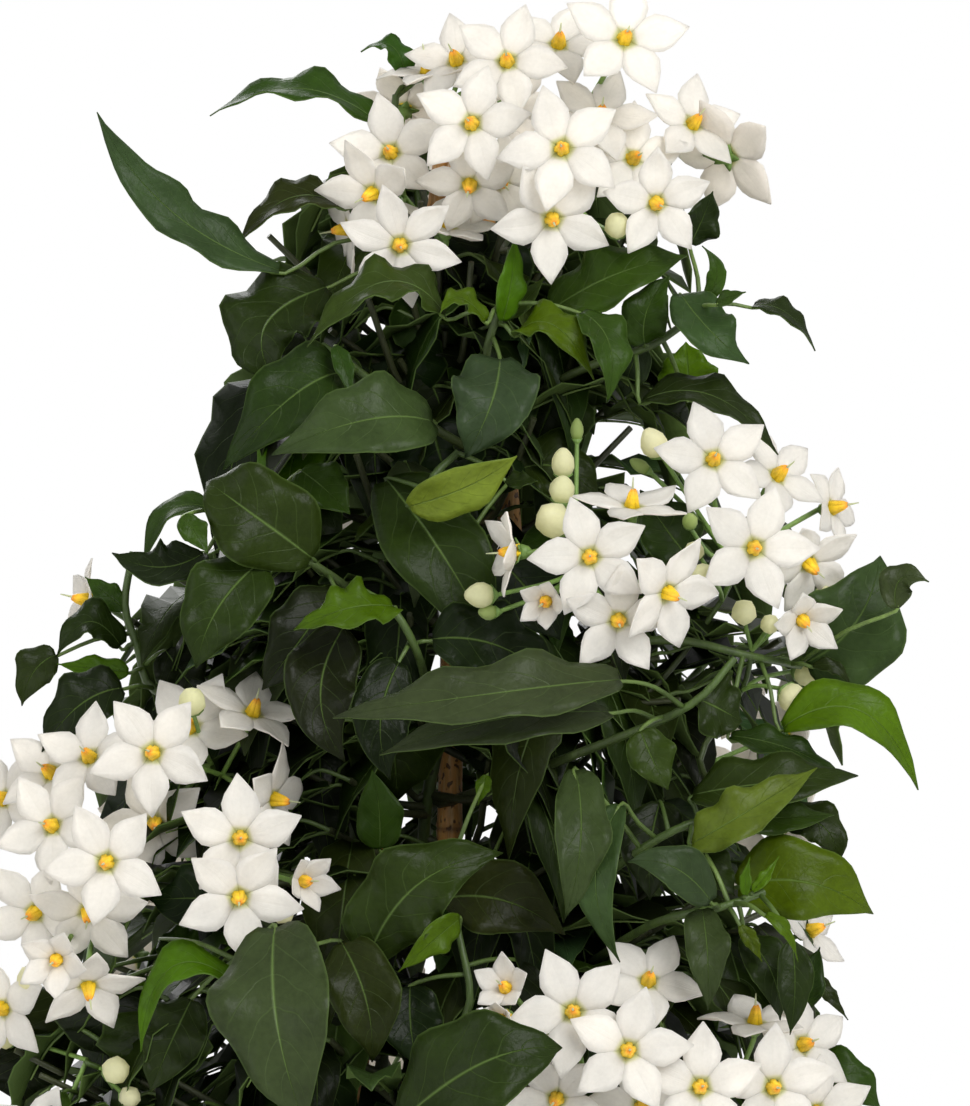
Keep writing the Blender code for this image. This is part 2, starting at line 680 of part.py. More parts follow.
def blade_half_width(share, width):
    """Half the blade's width: widest a little below the middle, drawn out to the tip."""
    low, high = BLADE_POWERS
    shape = share**low * (1 - share) ** high
    return width / 2 * shape / (BLADE_WIDEST**low * (1 - BLADE_WIDEST) ** high)


@dataclass
class Blade:
    """A leaf in the plant's own frame, with its petiole from root to base."""

    roots = 1
    root: Vector
    base: Vector
    middle: Vector
    tip: Vector
    face: Vector
    width: float
    fold: float
    seen_close: bool = False

    def section(self, share, spare=0.0):
        """Left edge, upper face, right edge and lower face at this share of the blade."""
        centre = curve_point(self.base, self.middle, self.tip, share)
        heading = curve_heading(self.base, self.middle, self.tip, share)
        upward = self.face - self.face.dot(heading) * heading
        upward.normalize()
        side = heading.cross(upward)
        half = max(blade_half_width(share, self.width), PETIOLE_RADIUS) + spare
        out = half * math.cos(math.radians(self.fold)) * side
        raised = half * math.sin(math.radians(self.fold)) * upward
        thick = (RIB_THICKNESS / 2 + spare) * upward
        return [centre - out + raised, centre + thick, centre + out + raised, centre - thick]

    def mesh(self, spare=0.0):
        steps = LEAF_STEPS
        if self.width > BROAD_LEAF and self.seen_close:
            steps = BROAD_LEAF_STEPS
        if self.width < SMALL_LEAF:
            steps = SMALL_LEAF_STEPS
        heading = (self.base - self.root).normalized() + curve_heading(self.base, self.middle, self.tip, 0)
        heading.normalize()
        neck = ring(self.base, heading, self.face.cross(heading), PETIOLE_RADIUS + spare, 3)
        start = [point + self.root - self.base for point in neck]
        rings = [start, neck] + [self.section(step, spare) for step in steps]
        points = [point for one in rings for point in one] + [self.tip]
        faces = [(0, 1, 2)]
        stitch([0, 1, 2], [3, 4, 5], faces)
        stitch([3, 4, 5], [6, 7, 8, 9], faces)
        for low in range(6, 2 + 4 * len(steps), 4):
            for side in range(4):
                after = (side + 1) % 4
                a, b, c, d = low + side, low + after, low + 4 + after, low + 4 + side
                faces.extend(((a, b, c), (a, c, d)) if side % 2 == 0 else ((a, b, d), (b, c, d)))
        last = len(points) - 5
        faces.extend((last + side, last + (side + 1) % 4, last + 4) for side in range(4))
        return points, faces


@dataclass
class Bloom:
    """A flower in the plant's own frame, with its pedicel from the root to the calyx."""

    roots = 3
    root: Vector
    middle: Vector
    face: Vector
    first: Vector
    radius: float
    opening: float
    petals: int
    seen_close: bool = False

    def at(self, reach, beside, angle, height=0.0):
        """A point on a petal, reach along it and beside its rib, petals opened by the angle."""
        first = (self.first - self.first.dot(self.face) * self.face).normalized()
        second = self.face.cross(first)
        out = math.cos(angle) * first + math.sin(angle) * second
        across = math.cos(angle) * second - math.sin(angle) * first
        tilt = math.radians(self.opening)
        along = math.sin(tilt) * out + math.cos(tilt) * self.face
        return self.middle + reach * along + beside * across + height * self.face

    def pedicel(self, share):
        """The pedicel's centre line, leaving the calyx straight back and curving to the root."""
        start = self.middle - PEDICEL_START * self.face
        control = start - PEDICEL_SWEEP * (self.root - start).length * self.face
        rest = 1 - share
        return rest * rest * start + 2 * rest * share * control + share * share * self.root

    def mesh(self, spare=0.0):
        count = self.petals
        turn = math.tau / count
        notches = [(i - 0.5) * turn for i in range(count)]
        throat = [self.at(THROAT, 0, a, THROAT_RISE + spare) for a in notches]
        calyx = [self.at(CALYX + spare, 0, a, -CALYX_DROP - spare) for a in notches]
        cone = [self.middle + (CONE_LENGTH + spare) * self.face]
        rim = []
        size = self.radius + spare
        for i in range(count):
            rim.append(self.at(PETAL_NOTCH * size, 0, notches[i]))
            if self.seen_close:
                rim.append(self.at(PETAL_SIDE[0] * size, -PETAL_SIDE[1] * size, i * turn))
            rim.append(self.at(size, 0, i * turn))
            if self.seen_close:
                rim.append(self.at(PETAL_SIDE[0] * size, PETAL_SIDE[1] * size, i * turn))
        points = throat + calyx + cone + rim
        faces = []
        outline = 2 * count + 1
        each = 4 if self.seen_close else 2
        for i in range(count):
            start = outline + each * i
            petal = [start + k for k in range(each)] + [outline + each * ((i + 1) % count)]
            tip = each // 2
            for inner in (0, count):
                a, b = inner + i, inner + (i + 1) % count
                faces.extend((a, petal[k], petal[k + 1]) for k in range(tip))
                faces.append((a, petal[tip], b))
                faces.extend((b, petal[k], petal[k + 1]) for k in range(tip, each))
        stitch(list(range(count)), [2 * count], faces)
        self.add_pedicel(points, faces, list(range(count, 2 * count)), spare)
        return points, faces

    def add_pedicel(self, points, faces, low, spare):
        towards = points[low[0]] - self.middle
        bend = self.pedicel(0.5) if self.seen_close else self.middle - PEDICEL_BEND * self.face
        middle = ring(bend, (bend - self.root).normalized(), towards, PEDICEL_RADIUS + spare, 3)
        for high in (middle, [point + self.root - bend for point in middle]):
            start = len(points)
            points.extend(high)
            stitch(low, [start, start + 1, start + 2], faces)
            low = [start, start + 1, start + 2]
        fan(low, faces)


@dataclass
class Ovoid:
    """A bud in the plant's own frame, with its pedicel."""

    roots = 3
    root: Vector
    middle: Vector
    lean: Vector
    width: float
    length: float

    def mesh(self, spare=0.0):
        base = self.middle - self.length / 2 * self.lean
        heading = ((base - self.root).normalized() + self.lean).normalized()
        towards = heading.orthogonal()
        neck = ring(base, heading, towards, PEDICEL_RADIUS + spare, 3)
        widest = self.middle - BUD_WIDEST * self.length * self.lean
        shoulder = self.middle + BUD_SHOULDER * self.length * self.lean
        rings = [
            [point + self.root - base for point in neck],
            neck,
            ring(widest, self.lean, towards, self.width / 2 + spare, 5),
            ring(shoulder, self.lean, towards, BUD_SHOULDER_RADIUS * self.width + spare, 5),
            [base + (self.length + spare) * self.lean],
        ]
        return loft(rings)


def tube(route, radius, sides=STEM_SIDES):
    """A tube along a route of points: its rings halve the bends, so that its sides stay flat."""
    headings = [(high - low).normalized() for low, high in zip(route, route[1:])]
    rings = [ring(route[0], headings[0], headings[0].orthogonal(), radius, sides)]
    for i, point in enumerate(route[1:]):
        along = headings[i]
        plane = along + headings[min(i + 1, len(headings) - 1)]
        rings.append([one + (point - one).dot(plane) / along.dot(plane) * along for one in rings[-1]])
    return loft(rings)


def knot(centre, radius):
    """A small swelling where stalks divide: an octahedron."""
    axes = (RIGHT, Vector((0, 1, 0)), VERTICAL)
    middle = [centre + radius * axes[0], centre + radius * axes[1]]
    middle += [centre - radius * axes[0], centre - radius * axes[1]]
    points = [centre - radius * axes[2]] + middle + [centre + radius * axes[2]]
    faces = [(0, 1 + i, 1 + (i + 1) % 4) for i in range(4)]
    faces += [(5, 1 + i, 1 + (i + 1) % 4) for i in range(4)]
    return points, faces


def bounds(points):
    low = [min(point[axis] for point in points) for axis in range(3)]
    high = [max(point[axis] for point in points) for axis in range(3)]
    return low, high


def crossings(mesh, owner):
    """How many pieces of other nodes a mesh crosses, and how many of its own node."""
    points, faces = mesh
    low, high = bounds(points)
    tree = BVHTree.FromPolygons(points, faces, all_triangles=True)
    others = own = 0
    for node, other_low, other_high, other in PLACED:
        if all(low[i] < other_high[i] and high[i] > other_low[i] for i in range(3)):
            if tree.overlap(other):
                own += node == owner
                others += node != owner
    return others, own


def place(mesh, owner):
    points, faces = mesh
    low, high = bounds(points)
    PLACED.append((owner, low, high, BVHTree.FromPolygons(points, faces, all_triangles=True)))


def first_clear(variants, owner):
    """The variant that crosses no other node and the least of its own, or None."""
    best = None
    for variant in variants:
        mesh = variant.mesh(CLEARANCE)
        others, own = crossings(mesh, owner)
        if others == 0 and (best is None or own < best[0]):
            best = (own, variant, mesh)
            if own <= variant.roots:
                break
    if best is None:
        return None
    place(best[2], owner)
    return best[1]


def as_object(name, mesh, home):
    points, faces = mesh
    data = bpy.data.meshes.new(name)
    data.from_pydata([tuple(point) for point in points], [], faces)
    shape = bmesh.new()
    shape.from_mesh(data)
    bmesh.ops.recalc_face_normals(shape, faces=shape.faces[:])
    shape.to_mesh(data)
    shape.free()
    made = bpy.data.objects.new(name, data)
    home.objects.link(made)
    return made


def islands(shape):
    """The separate closed surfaces of a mesh, as lists of faces."""
    left = set(shape.faces)
    found = []
    while left:
        group = [left.pop()]
        for face in group:
            for edge in face.edges:
                for beyond in edge.link_faces:
                    if beyond in left:
                        left.remove(beyond)
                        group.append(beyond)
        found.append(group)
    return found


def signed_volume(faces):
    total = 0.0
    for face in faces:
        first = face.verts[0].co
        for second, third in zip(face.verts[1:], face.verts[2:]):
            total += first.dot(second.co.cross(third.co)) / 6
    return total


def keep_one_body(data):
    """Fills the hollows that fusing sealed."""
    shape = bmesh.new()
    shape.from_mesh(data)
    groups = islands(shape)
    body = max(groups, key=signed_volume)
    for group in groups:
        if group is not body:
            bmesh.ops.delete(shape, geom=group, context="FACES")
    shape.to_mesh(data)
    shape.free()


def fused(name, meshes, finish, home):
    """One node from a stem and all that grows from it."""
    base = as_object(name, meshes[0], home)
    if len(meshes) > 1:
        loose = collection("loose")
        for i, mesh in enumerate(meshes[1:]):
            as_object(f"loose_{i}", mesh, loose)
        union = base.modifiers.new("union", "BOOLEAN")
        union.operation = "UNION"
        union.operand_type = "COLLECTION"
        union.collection = loose
        union.solver = "MANIFOLD"
        graph = bpy.context.evaluated_depsgraph_get()
        joined = bpy.data.meshes.new_from_object(base.evaluated_get(graph))
        keep_one_body(joined)
        base.modifiers.clear()
        base.data = joined
        for piece in list(loose.objects):
            bpy.data.objects.remove(piece)
        bpy.data.collections.remove(loose)
    base.data.materials.clear()
    base.data.materials.append(finish)
    return base


def turned(name, profile, finish, home):
    """A turned solid from a profile of (radius, height) points that starts and ends on the axis."""
    shape = bmesh.new()
    points = [shape.verts.new((radius, 0, height)) for radius, height in profile]
    for low, high in zip(points, points[1:]):
        shape.edges.new((low, high))
    data = bpy.data.meshes.new(name)
    shape.to_mesh(data)
    shape.free()
    made = bpy.data.objects.new(name, data)
    home.objects.link(made)
    screw = made.modifiers.new("turn", "SCREW")
    screw.steps = TURN_STEPS
    screw.render_steps = TURN_STEPS
    screw.use_merge_vertices = True
    screw.merge_threshold = 0.00001
    screw.use_smooth_shade = True
    data.materials.append(finish)
    return made


def cutter(name, low, high, radius, home):
    """A round cutter between two points."""
    made = as_object(name, tube([low, high], radius, sides=8), home)
    made.hide_render = True
    made.display_type = "WIRE"
    return made


def cut(target, cutters):
    hole = target.modifiers.new("holes", "BOOLEAN")
    hole.operation = "DIFFERENCE"
    hole.operand_type = "COLLECTION"
    hole.collection = cutters
    hole.solver = "EXACT"


def cane_line(number):
    """The two ends of a cane's centre line, through its place in the tie."""
    angle = math.atan2(CANE_FEET[number][1], CANE_FEET[number][0])
    held = Vector((
        TIE_CENTRE[0] * MM + TIE_SPREAD * math.cos(angle),
        TIE_CENTRE[1] * MM + TIE_SPREAD * math.sin(angle),
        TIE_HEIGHT,
    ))
    foot = Vector((CANE_FEET[number][0] * MM, CANE_FEET[number][1] * MM, CANE_FOOT))
    top = foot + (held - foot) * (CANE_TOP - CANE_FOOT) / (TIE_HEIGHT - CANE_FOOT)
    return foot, top


def cane(number, finish, home):
    """A bamboo cane with its swollen joints."""
    foot, top = cane_line(number)
    heading = (top - foot).normalized()
    rings = []
    shares = [(0, 1)]
    for joint in CANE_JOINTS:
        middle = joint + JOINT_STEP * number
        shares += [(middle - JOINT_REACH, 1), (middle, JOINT_SWELL), (middle + JOINT_REACH, 1)]
    shares = [pair for pair in shares if pair[0] < ROUTE_ENDS[1]] + [(1, 1)]
    for share, swell in shares:
        rings.append(ring(foot + (top - foot) * share, heading, RIGHT, CANE_RADIUS * swell, CANE_SIDES))
    mesh = loft(rings)
    place(mesh, f"cane_{number + 1}")
    made = as_object(f"cane_{number + 1}", mesh, home)
    made.data.materials.append(finish)
    made.data.shade_smooth()
    made.data.set_sharp_from_angle(angle=math.radians(50))
    return made


def twining_route(number):
    """A main stem's centre line: it comes out of the soil and winds up its cane."""
    foot, top = cane_line(number)
    heading = (top - foot).normalized()
    first = Vector((-foot.y, foot.x, 0)).normalized()
    second = heading.cross(first)
    route = []
    for i in range(TWINE_STEPS + 1):
        share = i / TWINE_STEPS
        height = MAIN_STEM_FOOT + (MAIN_STEM_TOP - MAIN_STEM_FOOT) * share
        centre = foot + (top - foot) * (height - foot.z) / (top.z - foot.z)
        angle = math.tau * TWINE_TURNS * share + number
        route.append(centre + TWINE_RADIUS * (math.cos(angle) * first + math.sin(angle) * second))
    return route


def nearest_on(route, point):
    """The nearest point to this one on a route, and its distance."""
    best = None
    for low, high in zip(route, route[1:]):
        along = high - low
        share = min(max((point - low).dot(along) / along.length_squared, ROUTE_ENDS[0]), ROUTE_ENDS[1])
        found = low + share * along
        if best is None or (found - point).length < best[1]:
            best = (found, (found - point).length)
    return best


def rooted(route, point, number):
    """Where on a stem's route an organ at this point roots, a little apart from its neighbours."""
    found = nearest_on(route, point)[0]
    return found + (0.15 + 0.1 * (number % 4)) * MM * (point - found).normalized()


def grown_from(point, lines, radius):
    """Where a stem that starts near this point leaves the nearest of the lines, a gap off its side."""
    best = min((nearest_on(line, point) for line in lines), key=lambda found: found[1])[0]
    away = (point - best).normalized()
    return best + away * (radius + 2 * GAP)


def clear_route(points, lines, line_radius, radius, sides, owner):
    """A stem's route from the nearest line through these points, the first one moved till it is clear."""
    heading = (points[1] - points[0]).normalized()
    beside = heading.orthogonal().normalized()
    above = heading.cross(beside)
    for reach in ROUTE_REACHES:
        for direction in range(ROUTE_DIRECTIONS if reach else 1):
            angle = math.tau * direction / ROUTE_DIRECTIONS
            moved = points[0] + reach * MM * (math.cos(angle) * beside + math.sin(angle) * above)
            route = [grown_from(moved, lines, line_radius), moved] + points[1:]
            mesh = tube(route, radius + CLEARANCE, sides)
            if crossings(mesh, owner)[0] == 0:
                place(mesh, owner)
                return route
    place(mesh, owner)
    return route


def leafy_shoot(name, route, blades, finish, home):
    """A shoot's stem with the leaves that grow from it."""
    meshes = [tube(route, SHOOT_RADIUS)]
    for variants in blades:
        blade = first_clear(variants, name)
        if blade:
            meshes.append(blade.mesh())
    return fused(name, meshes, finish, home)


def seen_leaf(leaf, route, number):
    """A listed leaf's variants: where it was seen, then nearer and farther along the line of sight."""
    for shift in SHIFTS:
        base = seen(nearer(leaf.base, shift))
        tip = seen(nearer(leaf.tip, shift))
        if leaf.mid:
            middle = seen(nearer(leaf.mid, shift))
        else:
            middle = (base + tip) / 2 + LEAF_ARCH * (tip - base).length * TO_EYE
        face = leaf.face[0] * RIGHT + leaf.face[1] * UP + leaf.face[2] * TO_EYE
        root = rooted(route, base, number)
        yield Blade(root, base, middle, tip, face.normalized(), leaf.width * MM, leaf.fold, True)


def turned_by(vector, axis, degrees):
    """A vector turned about an axis."""
    angle = math.radians(degrees)
    across = axis.cross(vector)
    return math.cos(angle) * vector + math.sin(angle) * across + (1 - math.cos(angle)) * axis.dot(vector) * axis


def seen_flower(flower, hubs):
    """A listed flower's variants, nearer and farther along the line of sight."""
    face = turned_by(TO_EYE, RIGHT, -flower.pitch)
    face = turned_by(face, UP, flower.yaw)
    across = flower.tip[0] - flower.middle[0]
    upward = flower.middle[1] - flower.tip[1]
    first = turned_by(across * RIGHT + upward * UP, UP, flower.yaw * 0.5)
    close = max(abs(flower.yaw), abs(flower.pitch)) < CLOSE_TURN and flower.size > CLOSE_SIZE
    for shift in SHIFTS:
        middle = seen(nearer(flower.middle, shift))
        root = min(hubs, key=lambda hub: (hub - middle).length)
        yield Bloom(root, middle, face, first, flower.size * MM / 2, flower.opening, flower.petals, close)


def seen_bud(bud, hubs):
    lean = bud.lean[0] * RIGHT + bud.lean[1] * UP + bud.lean[2] * TO_EYE
    for shift in SHIFTS:
        middle = seen(nearer(bud.middle, shift))
        root = min(hubs, key=lambda hub: (hub - middle).length)
        yield Ovoid(root, middle, lean.normalized(), bud.width * MM, bud.length * MM)


def spray(name, route, organs, finish, home):
    """A spray: its stalk, the knots where it divides, and the flowers and buds on their pedicels."""
    meshes = [tube(route, STALK_RADIUS, STALK_SIDES)]
    for hub in route[2:]:
        meshes.append(knot(hub, HUB_RADIUS))
        place(knot(hub, HUB_RADIUS + CLEARANCE), name)
    for variants in organs:
        organ = first_clear(variants, name)
        if organ:
            meshes.append(organ.mesh())
    return fused(name, meshes, finish, home)


def outward(azimuth):
    """The level direction at this azimuth, 0 at the right and 90 at the back."""
    angle = math.radians(azimuth)
    return Vector((math.cos(angle), CROWN_DEPTH * math.sin(angle), 0))


def grown_blade(route, share, azimuth, side, length, width, droop):
    """A leaf's variants by the rule: set on its shoot, spread to one side, hanging outwards."""
    point = share * (len(route) - 1)
    at = min(int(point), len(route) - 2)
    stem = route[at].lerp(route[at + 1], min(point - at, LAST_LEAF))
    for shrink in LEAF_SHRINKS:
        for turn in TURNS:
            away = outward(azimuth + side + turn).normalized()
            base = stem + PETIOLE_OUT * away + PETIOLE_UP * VERTICAL
            tip = base + shrink * length * (math.cos(droop) * away - math.sin(droop) * VERTICAL)
            middle = (base + tip) / 2 + GROWN_ARCH * shrink * length * (0.5 * away + 0.9 * VERTICAL)
            face = (0.75 * away + 0.7 * VERTICAL).normalized()
            if in_outline(tip) and in_outline(middle):
                yield Blade(stem + GAP * away, base, middle, tip, face, shrink * width, GROWN_FOLD)


def grown_route(name, azimuth, height, stems):
    """A shoot's route by the rule, from a main stem out to near the crown's surface."""
    reach = crown_radius(height)
    heart = height * VERTICAL
    rise = SHOOT_RISE / 2 * VERTICAL
    inner = heart + SHOOT_INNER * reach * outward(azimuth) - rise
    end = heart + SHOOT_END * reach * outward(azimuth) + rise
    return clear_route([inner, end], stems, MAIN_STEM_RADIUS, SHOOT_RADIUS, STEM_SIDES, name)


def grown_shoot(name, azimuth, route, leaves, draw, finish, home):
    """A shoot by the rule, its leaves to either side in turn."""
    blades = []
    for i in range(leaves):
        along = i / (leaves - 1)
        share = 0.5 + 0.5 * along
        side = (100 - 78 * along) * (-1) ** i + draw.uniform(-10, 10)
        length = draw.uniform(42, 56) * MM
        width = draw.uniform(18, 24) * MM
        droop = math.radians(draw.uniform(15, 65))
        blades.append(grown_blade(route, share, azimuth, side, length, width, droop))
    return leafy_shoot(name, route, blades, finish, home)


def grown_bloom(hub, azimuth, number, count, draw):
    """A flower's variants by the rule: on a dome over its hub."""
    lean = math.tau * number / (count - 1)
    spread = 0.0 if number == count - 1 else draw.uniform(19, 25)
    size = draw.uniform(28, 31)
    first = Vector((draw.uniform(-1, 1), draw.uniform(-1, 1), draw.uniform(-1, 1)))
    petals = 6 if draw.random() < 0.15 else 5
    for turn in TURNS:
        away = outward(azimuth).normalized()
        beside = Vector((-away.y, away.x, 0))
        angle = lean + math.radians(turn)
        offset = spread * MM * (math.cos(angle) * beside + math.sin(angle) * VERTICAL)
        middle = hub + offset + (DOME_HEIGHT + abs(turn) * DOME_LIFT) * away
        face = (away + DOME_CURVE * offset).normalized()
        bloom = Bloom(hub, middle, face, first, size * MM / 2, FLOWER_OPENING, petals)
        if all(in_outline(bloom.at(bloom.radius, 0, math.tau * i / petals)) for i in range(petals)):
            yield bloom


def grown_spray(name, azimuth, height, count, stems, draw, finish, home):
    """A spray by the rule, with its flowers on a dome over the end of its stalk."""
    reach = crown_radius(height)
    hub = height * VERTICAL + (SPRAY_REACH * reach - SPRAY_INSET) * outward(azimuth)
    inner = (height - SPRAY_DROP) * VERTICAL + SPRAY_INNER * reach * outward(azimuth)
    route = clear_route([inner, hub], stems, MAIN_STEM_RADIUS, STALK_RADIUS, STALK_SIDES, name)
    organs = [grown_bloom(hub, azimuth, number, count, draw) for number in range(count)]
    return spray(name, route, organs, finish, home)


def pot(finish, home, cutters):
    """A tapering clay pot with a rim band and drain holes away from its middle."""
    wall_top = POT_TOP_RADIUS - RIM_STEP
    inside_base = POT_BASE_RADIUS - POT_WALL + WALL_SLOPE_START
    profile = [
        (0, POT_FLOOR),
        (inside_base, POT_FLOOR),
        (wall_top - POT_WALL, POT_HEIGHT),
        (POT_TOP_RADIUS, POT_HEIGHT),
        (POT_TOP_RADIUS - RIM_UNDERCUT, POT_HEIGHT - RIM_HEIGHT),
        (wall_top - WALL_TOP_INSET, POT_HEIGHT - RIM_HEIGHT),
        (POT_BASE_RADIUS, FOOT_CHAMFER),
        (POT_BASE_RADIUS - FOOT_CHAMFER, 0),
        (0, 0),
    ]
    made = turned("pot", profile, finish, home)
    for i in range(DRAINS):
        angle = math.tau * i / DRAINS + DRAIN_TURN
        at = Vector((DRAIN_CIRCLE * math.cos(angle), DRAIN_CIRCLE * math.sin(angle), 0))
        cutter(f"drain_{i}", at - CUT_BEYOND * VERTICAL, at + 2 * POT_FLOOR * VERTICAL, DRAIN_RADIUS, cutters)
    cut(made, cutters)
    return made


def soil(finish, home, cutters):
    """The soil in the pot, with plain holes for the canes and the main stems."""
    slope = (POT_TOP_RADIUS - RIM_STEP - POT_BASE_RADIUS - WALL_SLOPE_START) / (POT_HEIGHT - POT_FLOOR)
    base = POT_BASE_RADIUS - POT_WALL + WALL_SLOPE_START - GAP
    profile = [
        (0, SOIL_TOP + SOIL_MOUND),
        (MOUND_RADIUS, SOIL_TOP + MOUND_SHARE * SOIL_MOUND),
        (base + slope * (SOIL_TOP - POT_FLOOR) - GAP, SOIL_TOP),
        (base, POT_FLOOR + GAP),
        (0, POT_FLOOR + GAP),
    ]
    made = turned("soil", profile, finish, home)
    for number in range(3):
        foot, top = cane_line(number)
        heading = (top - foot).normalized()
        cutter(f"cane_hole_{number}", foot - GAP * heading, foot + CANE_HOLE_DEPTH * heading,
               CANE_RADIUS + GAP, cutters)
        route = twining_route(number)
        down = (route[0] - route[1]).normalized()
        cutter(f"stem_hole_{number}", route[0] + GAP * down, route[0] - STEM_HOLE_DEPTH * down,
               MAIN_STEM_RADIUS + 2.2 * GAP, cutters)
    cut(made, cutters)
    return made


def tie(finish, home):
    """The rubber ring that holds the canes together near their tops."""
    inner = TIE_SPREAD + CANE_RADIUS + TIE_ROOM + GAP
    low = TIE_HEIGHT - TIE_LENGTH / 2
    centre = Vector((TIE_CENTRE[0] * MM, TIE_CENTRE[1] * MM, 0))
    high = low + TIE_LENGTH
    edges = ((inner, low), (inner, high), (inner + TIE_WALL, high), (inner + TIE_WALL, low))
    rings = [ring(centre + height * VERTICAL, VERTICAL, RIGHT, radius, TIE_SIDES) for radius, height in edges]
    points = [point for one in rings for point in one]
    numbers = [[TIE_SIDES * i + k for k in range(TIE_SIDES)] for i in range(len(rings))]
    faces = []
    for i, low_ring in enumerate(numbers):
        stitch(low_ring, numbers[(i + 1) % len(numbers)], faces)
    place((points, faces), "cane_tie")
    made = as_object("cane_tie", (points, faces), home)
    made.data.materials.append(finish)
    return made


def pot_guard():
    """Keeps leaves clear of the pot's outer wall and rim."""
    edges = (
        (POT_BASE_RADIUS + GAP, 0),
        (POT_TOP_RADIUS + GAP, POT_HEIGHT - RIM_HEIGHT),
        (POT_TOP_RADIUS + GAP, POT_HEIGHT + GAP),
        (POT_TOP_RADIUS - 2 * POT_WALL, POT_HEIGHT + GAP),
    )
    rings = [ring(height * VERTICAL, VERTICAL, RIGHT, radius, TURN_STEPS) for radius, height in edges]
    place(loft(rings), "pot")


def main_stems(finish, home):
    """The stems that come out of the soil and twine round the canes."""
    stems = [twining_route(number) for number in range(3)]
    for number, route in enumerate(stems):
        name = f"main_stem_{number + 1}"
        place(tube(route, MAIN_STEM_RADIUS + CLEARANCE), name)
        made = as_object(name, tube(route, MAIN_STEM_RADIUS), home)
        made.data.materials.append(finish)
    return stems


def grown_routes(stems):
    """Name, azimuth, route and number of leaves of each shoot by the rule."""
    grown = []
    for i in range(BACK_SHOOTS):
        name = f"shoot_back_{i + 1:02d}"
        azimuth = BACK_FIRST + (BACK_LAST - BACK_FIRST) * ((i * GOLDEN_STEP) % 1)
        height = BACK_LOW + (BACK_HIGH - BACK_LOW) * (i + 0.5) / BACK_SHOOTS
        grown.append((name, azimuth, grown_route(name, azimuth, height, stems), BACK_LEAVES))
    for i in range(SKIRT_SHOOTS):
        name = f"shoot_skirt_{i + 1}"
        azimuth = SKIRT_FIRST + (SKIRT_LAST - SKIRT_FIRST) * i / (SKIRT_SHOOTS - 1)
        height = SKIRT_HEIGHTS[i % 2]
        grown.append((name, azimuth, grown_route(name, azimuth, height, stems), SKIRT_LEAVES))
    return grown


def plant(home):
    """The main stems, the shoots and the sprays."""
    green = material("leaf_green", GREEN, 0.4)
    white = material("petal_white", WHITE, 0.6)
    stems = main_stems(material("stem_green", STEM_GREEN, 0.55), home)
    routes = {}
    for name, (places, leaves) in SHOOTS.items():
        points = [seen(one) for one in places]
        routes[name] = clear_route(points, stems, MAIN_STEM_RADIUS, SHOOT_RADIUS, STEM_SIDES, name)
    lines = list(routes.values())
    grown = grown_routes(stems)
    for name, (places, flowers, buds) in SPRAYS.items():
        points = [seen(one) for one in places]
        route = clear_route(points, lines, SHOOT_RADIUS, STALK_RADIUS, STALK_SIDES, name)
        hubs = points[1:]
        organs = [seen_flower(flower, hubs) for flower in flowers]
        organs += [seen_bud(bud, hubs) for bud in buds]
        spray(name, route, organs, white, home)
    for name, (places, leaves) in SHOOTS.items():
        blades = [seen_leaf(leaf, routes[name], number) for number, leaf in enumerate(leaves)]
        leafy_shoot(name, routes[name], blades, green, home)
    draw = random.Random(SEED)
    for i, (azimuth, height, count) in enumerate(BACK_SPRAYS):
        grown_spray(f"spray_back_{i + 1}", azimuth, height, count, stems, draw, white, home)
    for name, azimuth, route, leaves in grown:
        grown_shoot(name, azimuth, route, leaves, draw, green, home)


def main():
    for thing in list(bpy.data.objects):
        bpy.data.objects.remove(thing)
    home = collection("potted_potato_vine")
    pot_cutters = collection("pot_cutters", hidden=True)
    soil_cutters = collection("soil_cutters", hidden=True)
    pot(material("clay", CLAY, 0.85), home, pot_cutters)
    soil(material("earth", EARTH, 0.95), home, soil_cutters)
    pot_guard()
    for number in range(3):
        cane(number, material("bamboo", BAMBOO, 0.6), home)
    tie(material("tie_rubber", RUBBER_GREEN, 0.7), home)
    plant(home)


main()
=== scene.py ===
"""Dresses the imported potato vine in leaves, flowers, bamboo, clay and soil.

Metres, +Z up, seen along +Y. Every organ stands where its node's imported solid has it. Leaves and
flowers known from the photograph are listed by its pixels, 970 across and 1106 down, with how far in
millimetres they stand in front of the canes' axis, and the same seeded rule as in the part's source
gives the rest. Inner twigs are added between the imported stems.
"""

import logging
import math
import random
from collections.abc import Callable, Iterator, Sequence
from dataclasses import dataclass, field
from enum import Enum

import bmesh
import bpy
from mathutils import Matrix, Vector, noise
from mathutils.kdtree import KDTree


